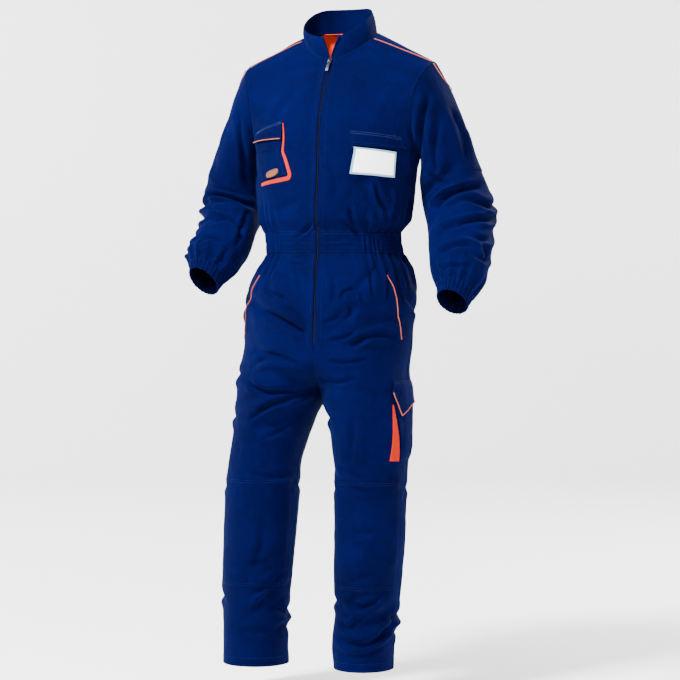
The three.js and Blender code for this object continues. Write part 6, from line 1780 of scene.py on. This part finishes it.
DOUBLE = (1.7, 6.5)
for side in SIDES:
    front, back = PANELS[f"bodice_front_{side}"], PANELS[f"bodice_back_{side}"]
    for panel in (front, PANELS[f"band_front_{side}"]):
        sew_edge(panel, "start", (8.6, 14.6), high=row_at_height("front", NECK_Z_FRONT - 2))
    sew_edge(front, "end", DOUBLE, low=ARMPIT_Z + 2)
    sew_edge(back, "end", DOUBLE)
    sew_edge(back, "high", (1.7,))
    yoke = PANELS[f"yoke_{side}"]
    sew_edge(yoke, "high", DOUBLE)
    sew_edge(yoke, "end", DOUBLE)
    sleeve = PANELS[f"sleeve_{side}"]
    sew_edge(sleeve, "start", DOUBLE, low=0.1, high=8.9)
    for at in (9.05, 9.52, 9.93):
        sew_places(f"cuff_{side}", [(0, at), (0.25, at), (0.5, at), (0.75, at), (1, at)], steps_each=110,
                   length=2.2, pitch=2.9)
    fore, hind = PANELS[f"trouser_front_{side}"], PANELS[f"trouser_back_{side}"]
    sew_edge(fore, "start", (8.6, 14.6), low=ZIP_BOTTOM + 10)
    bend = [(14.6 * math.cos(a), ZIP_BOTTOM + 10 - 24 * math.sin(a)) for a in np.linspace(0, 1.5, 9)]
    sew_path(fore, "start", bend)
    sew_edge(fore, "start", DOUBLE, low=HEM_Z + 24, high=FORK_Z - 8)
    sew_edge(fore, "start", DOUBLE[:1], low=FORK_Z + 8, high=ZIP_BOTTOM - 18)
    sew_edge(hind, "start", DOUBLE, low=FORK_Z + 8)
    sew_edge(hind, "end", DOUBLE, low=HEM_Z + 24)
    for panel in (fore, hind):
        sew_edge(panel, "low", (20.5,))
        sew_edge(panel, "high", (1.7,))
    for part in ("front", "back"):
        sew_edge(PANELS[f"bodice_{part}_{side}"], "low", (1.7,))
        for z in (-492.5, -514, -535.5):
            sew_places(f"band_{part}_{side}", [(0.0 if part == "back" else 0.05, z), (0.5, z), (1, z)],
                       steps_each=150)
    for shift in (0.014, 0.034):
        sew_places(f"trouser_front_{side}", [(0.59 - shift, -592), (0.6955 - shift, -668),
                                             (0.7854 - shift, -747)])
    sew_places(f"yoke_{side}", [(0.03, 0.085), (0.97, 0.085)], steps_each=60)

collar = PANELS["collar"]
for edge in ("start", "end", "high"):
    sew_edge(collar, edge, (5.5,))
sew_edge(collar, "low", (2.0,))
for name, edges in (("chest_flap_right", ("start", "end", "low")),
                    ("chest_flap_left", ("start", "end", "low")), ("cargo_flap", ("start", "low"))):
    for edge in edges:
        sew_edge(PANELS[name], edge, (1.9, 7.2))
sew_edge(PANELS["chest_flap_right"], "high", (1.9, 7.2), kind="pale")
sew_edge(PANELS["chest_flap_left"], "high", (1.9, 7.2), kind="pale")
sew_edge(PANELS["cargo_flap"], "high", (1.9, 7.2))
sew_edge(PANELS["pen_pocket"], "low", (1.9, 8))
sew_places("sleeve_left", [(0.4845, 2.34), (0.4845, 3.40)], lift=2.9)
sew_edge(PANELS["cargo_gusset"], "start", (1.8,), kind="orange")
sew_edge(PANELS["cargo_pocket"], "start", (1.8,))
sew_edge(PANELS["chest_gusset_right"], "start", (1.6,), kind="orange")

THREADS = {"navy": thread, "orange": orange_thread, "pale": pale_thread}
MOST = 15000
for kind, sets in stitch_sets.items():
    verts = np.concatenate(sets)
    for k in range(0, len(verts), MOST):
        slot = "orange_cloth" if kind == "orange" else "navy_cloth"
        loose_faces(f"stitching_{kind}_{k // MOST}", verts[k : k + MOST], STITCH_FACES, THREADS[kind])

# Floor, backdrop and light
def stage_mesh():
    """A round floor that curves up into a wall all round, well behind every camera."""
    floor_z, bend, radius = -1.62, 2.0, 8.5
    profile = [(0.0005, floor_z), (1.5, floor_z), (3.5, floor_z), (radius - bend, floor_z)]
    for a in np.linspace(0.15, math.pi / 2, 10):
        profile.append((radius - bend + bend * math.sin(a), floor_z + bend * (1 - math.cos(a))))
    profile.append((radius, 4.0))
    turns = np.linspace(0, 2 * math.pi, 65)[:-1]
    verts = [(r * math.cos(t), r * math.sin(t), z) for r, z in profile for t in turns]
    faces = []
    for k in range(len(profile) - 1):
        for j in range(64):
            low, high = k * 64, (k + 1) * 64
            faces.append((low + j, high + j, high + (j + 1) % 64, low + (j + 1) % 64))
    mesh = bpy.data.meshes.new("studio_floor")
    mesh.from_pydata(verts, [], faces)
    mesh.polygons.foreach_set("use_smooth", np.ones(len(mesh.polygons), bool))
    floor = bpy.data.objects.new("studio_floor", mesh)
    bpy.context.scene.collection.objects.link(floor)
    mesh.materials.append(new_material("studio_pale", (0.93, 0.93, 0.93), 0.9)[0])


stage_mesh()


def area_light(name, at, size, power, aim=(0, 0, -0.75), color=(1, 1, 1)):
    light = bpy.data.lights.new(name, "AREA")
    light.shape, light.size, light.energy, light.color = "SQUARE", size, power, color
    holder = bpy.data.objects.new(name, light)
    bpy.context.scene.collection.objects.link(holder)
    holder.location = at
    holder.rotation_mode = "QUATERNION"
    holder.rotation_quaternion = (Vector(aim) - Vector(at)).to_track_quat("-Z", "Y")


area_light("key", (-1.5, -2.6, 2.7), 0.8, 980, aim=(0, 0, -0.7))
area_light("fill", (2.8, -3.0, -0.2), 2.0, 22)
for k, (x, y) in enumerate(((-2.8, 2.2), (2.8, 2.2), (3.0, -2.6), (-3.0, -2.6))):
    area_light(f"wall_{k}", (x, y, 3.4), 2.0, 620 if y > 0 else 380, aim=(3 * x, 3 * y, -1.0))
area_light("back_key", (1.8, 3.6, 2.4), 1.4, 420, aim=(0, 0, -0.6))
world = bpy.data.worlds.new("studio")
bpy.context.scene.world = world
world.use_nodes = True
world.node_tree.nodes["Background"].inputs["Color"].default_value = (1, 1, 1, 1)
world.node_tree.nodes["Background"].inputs["Strength"].default_value = 0.32
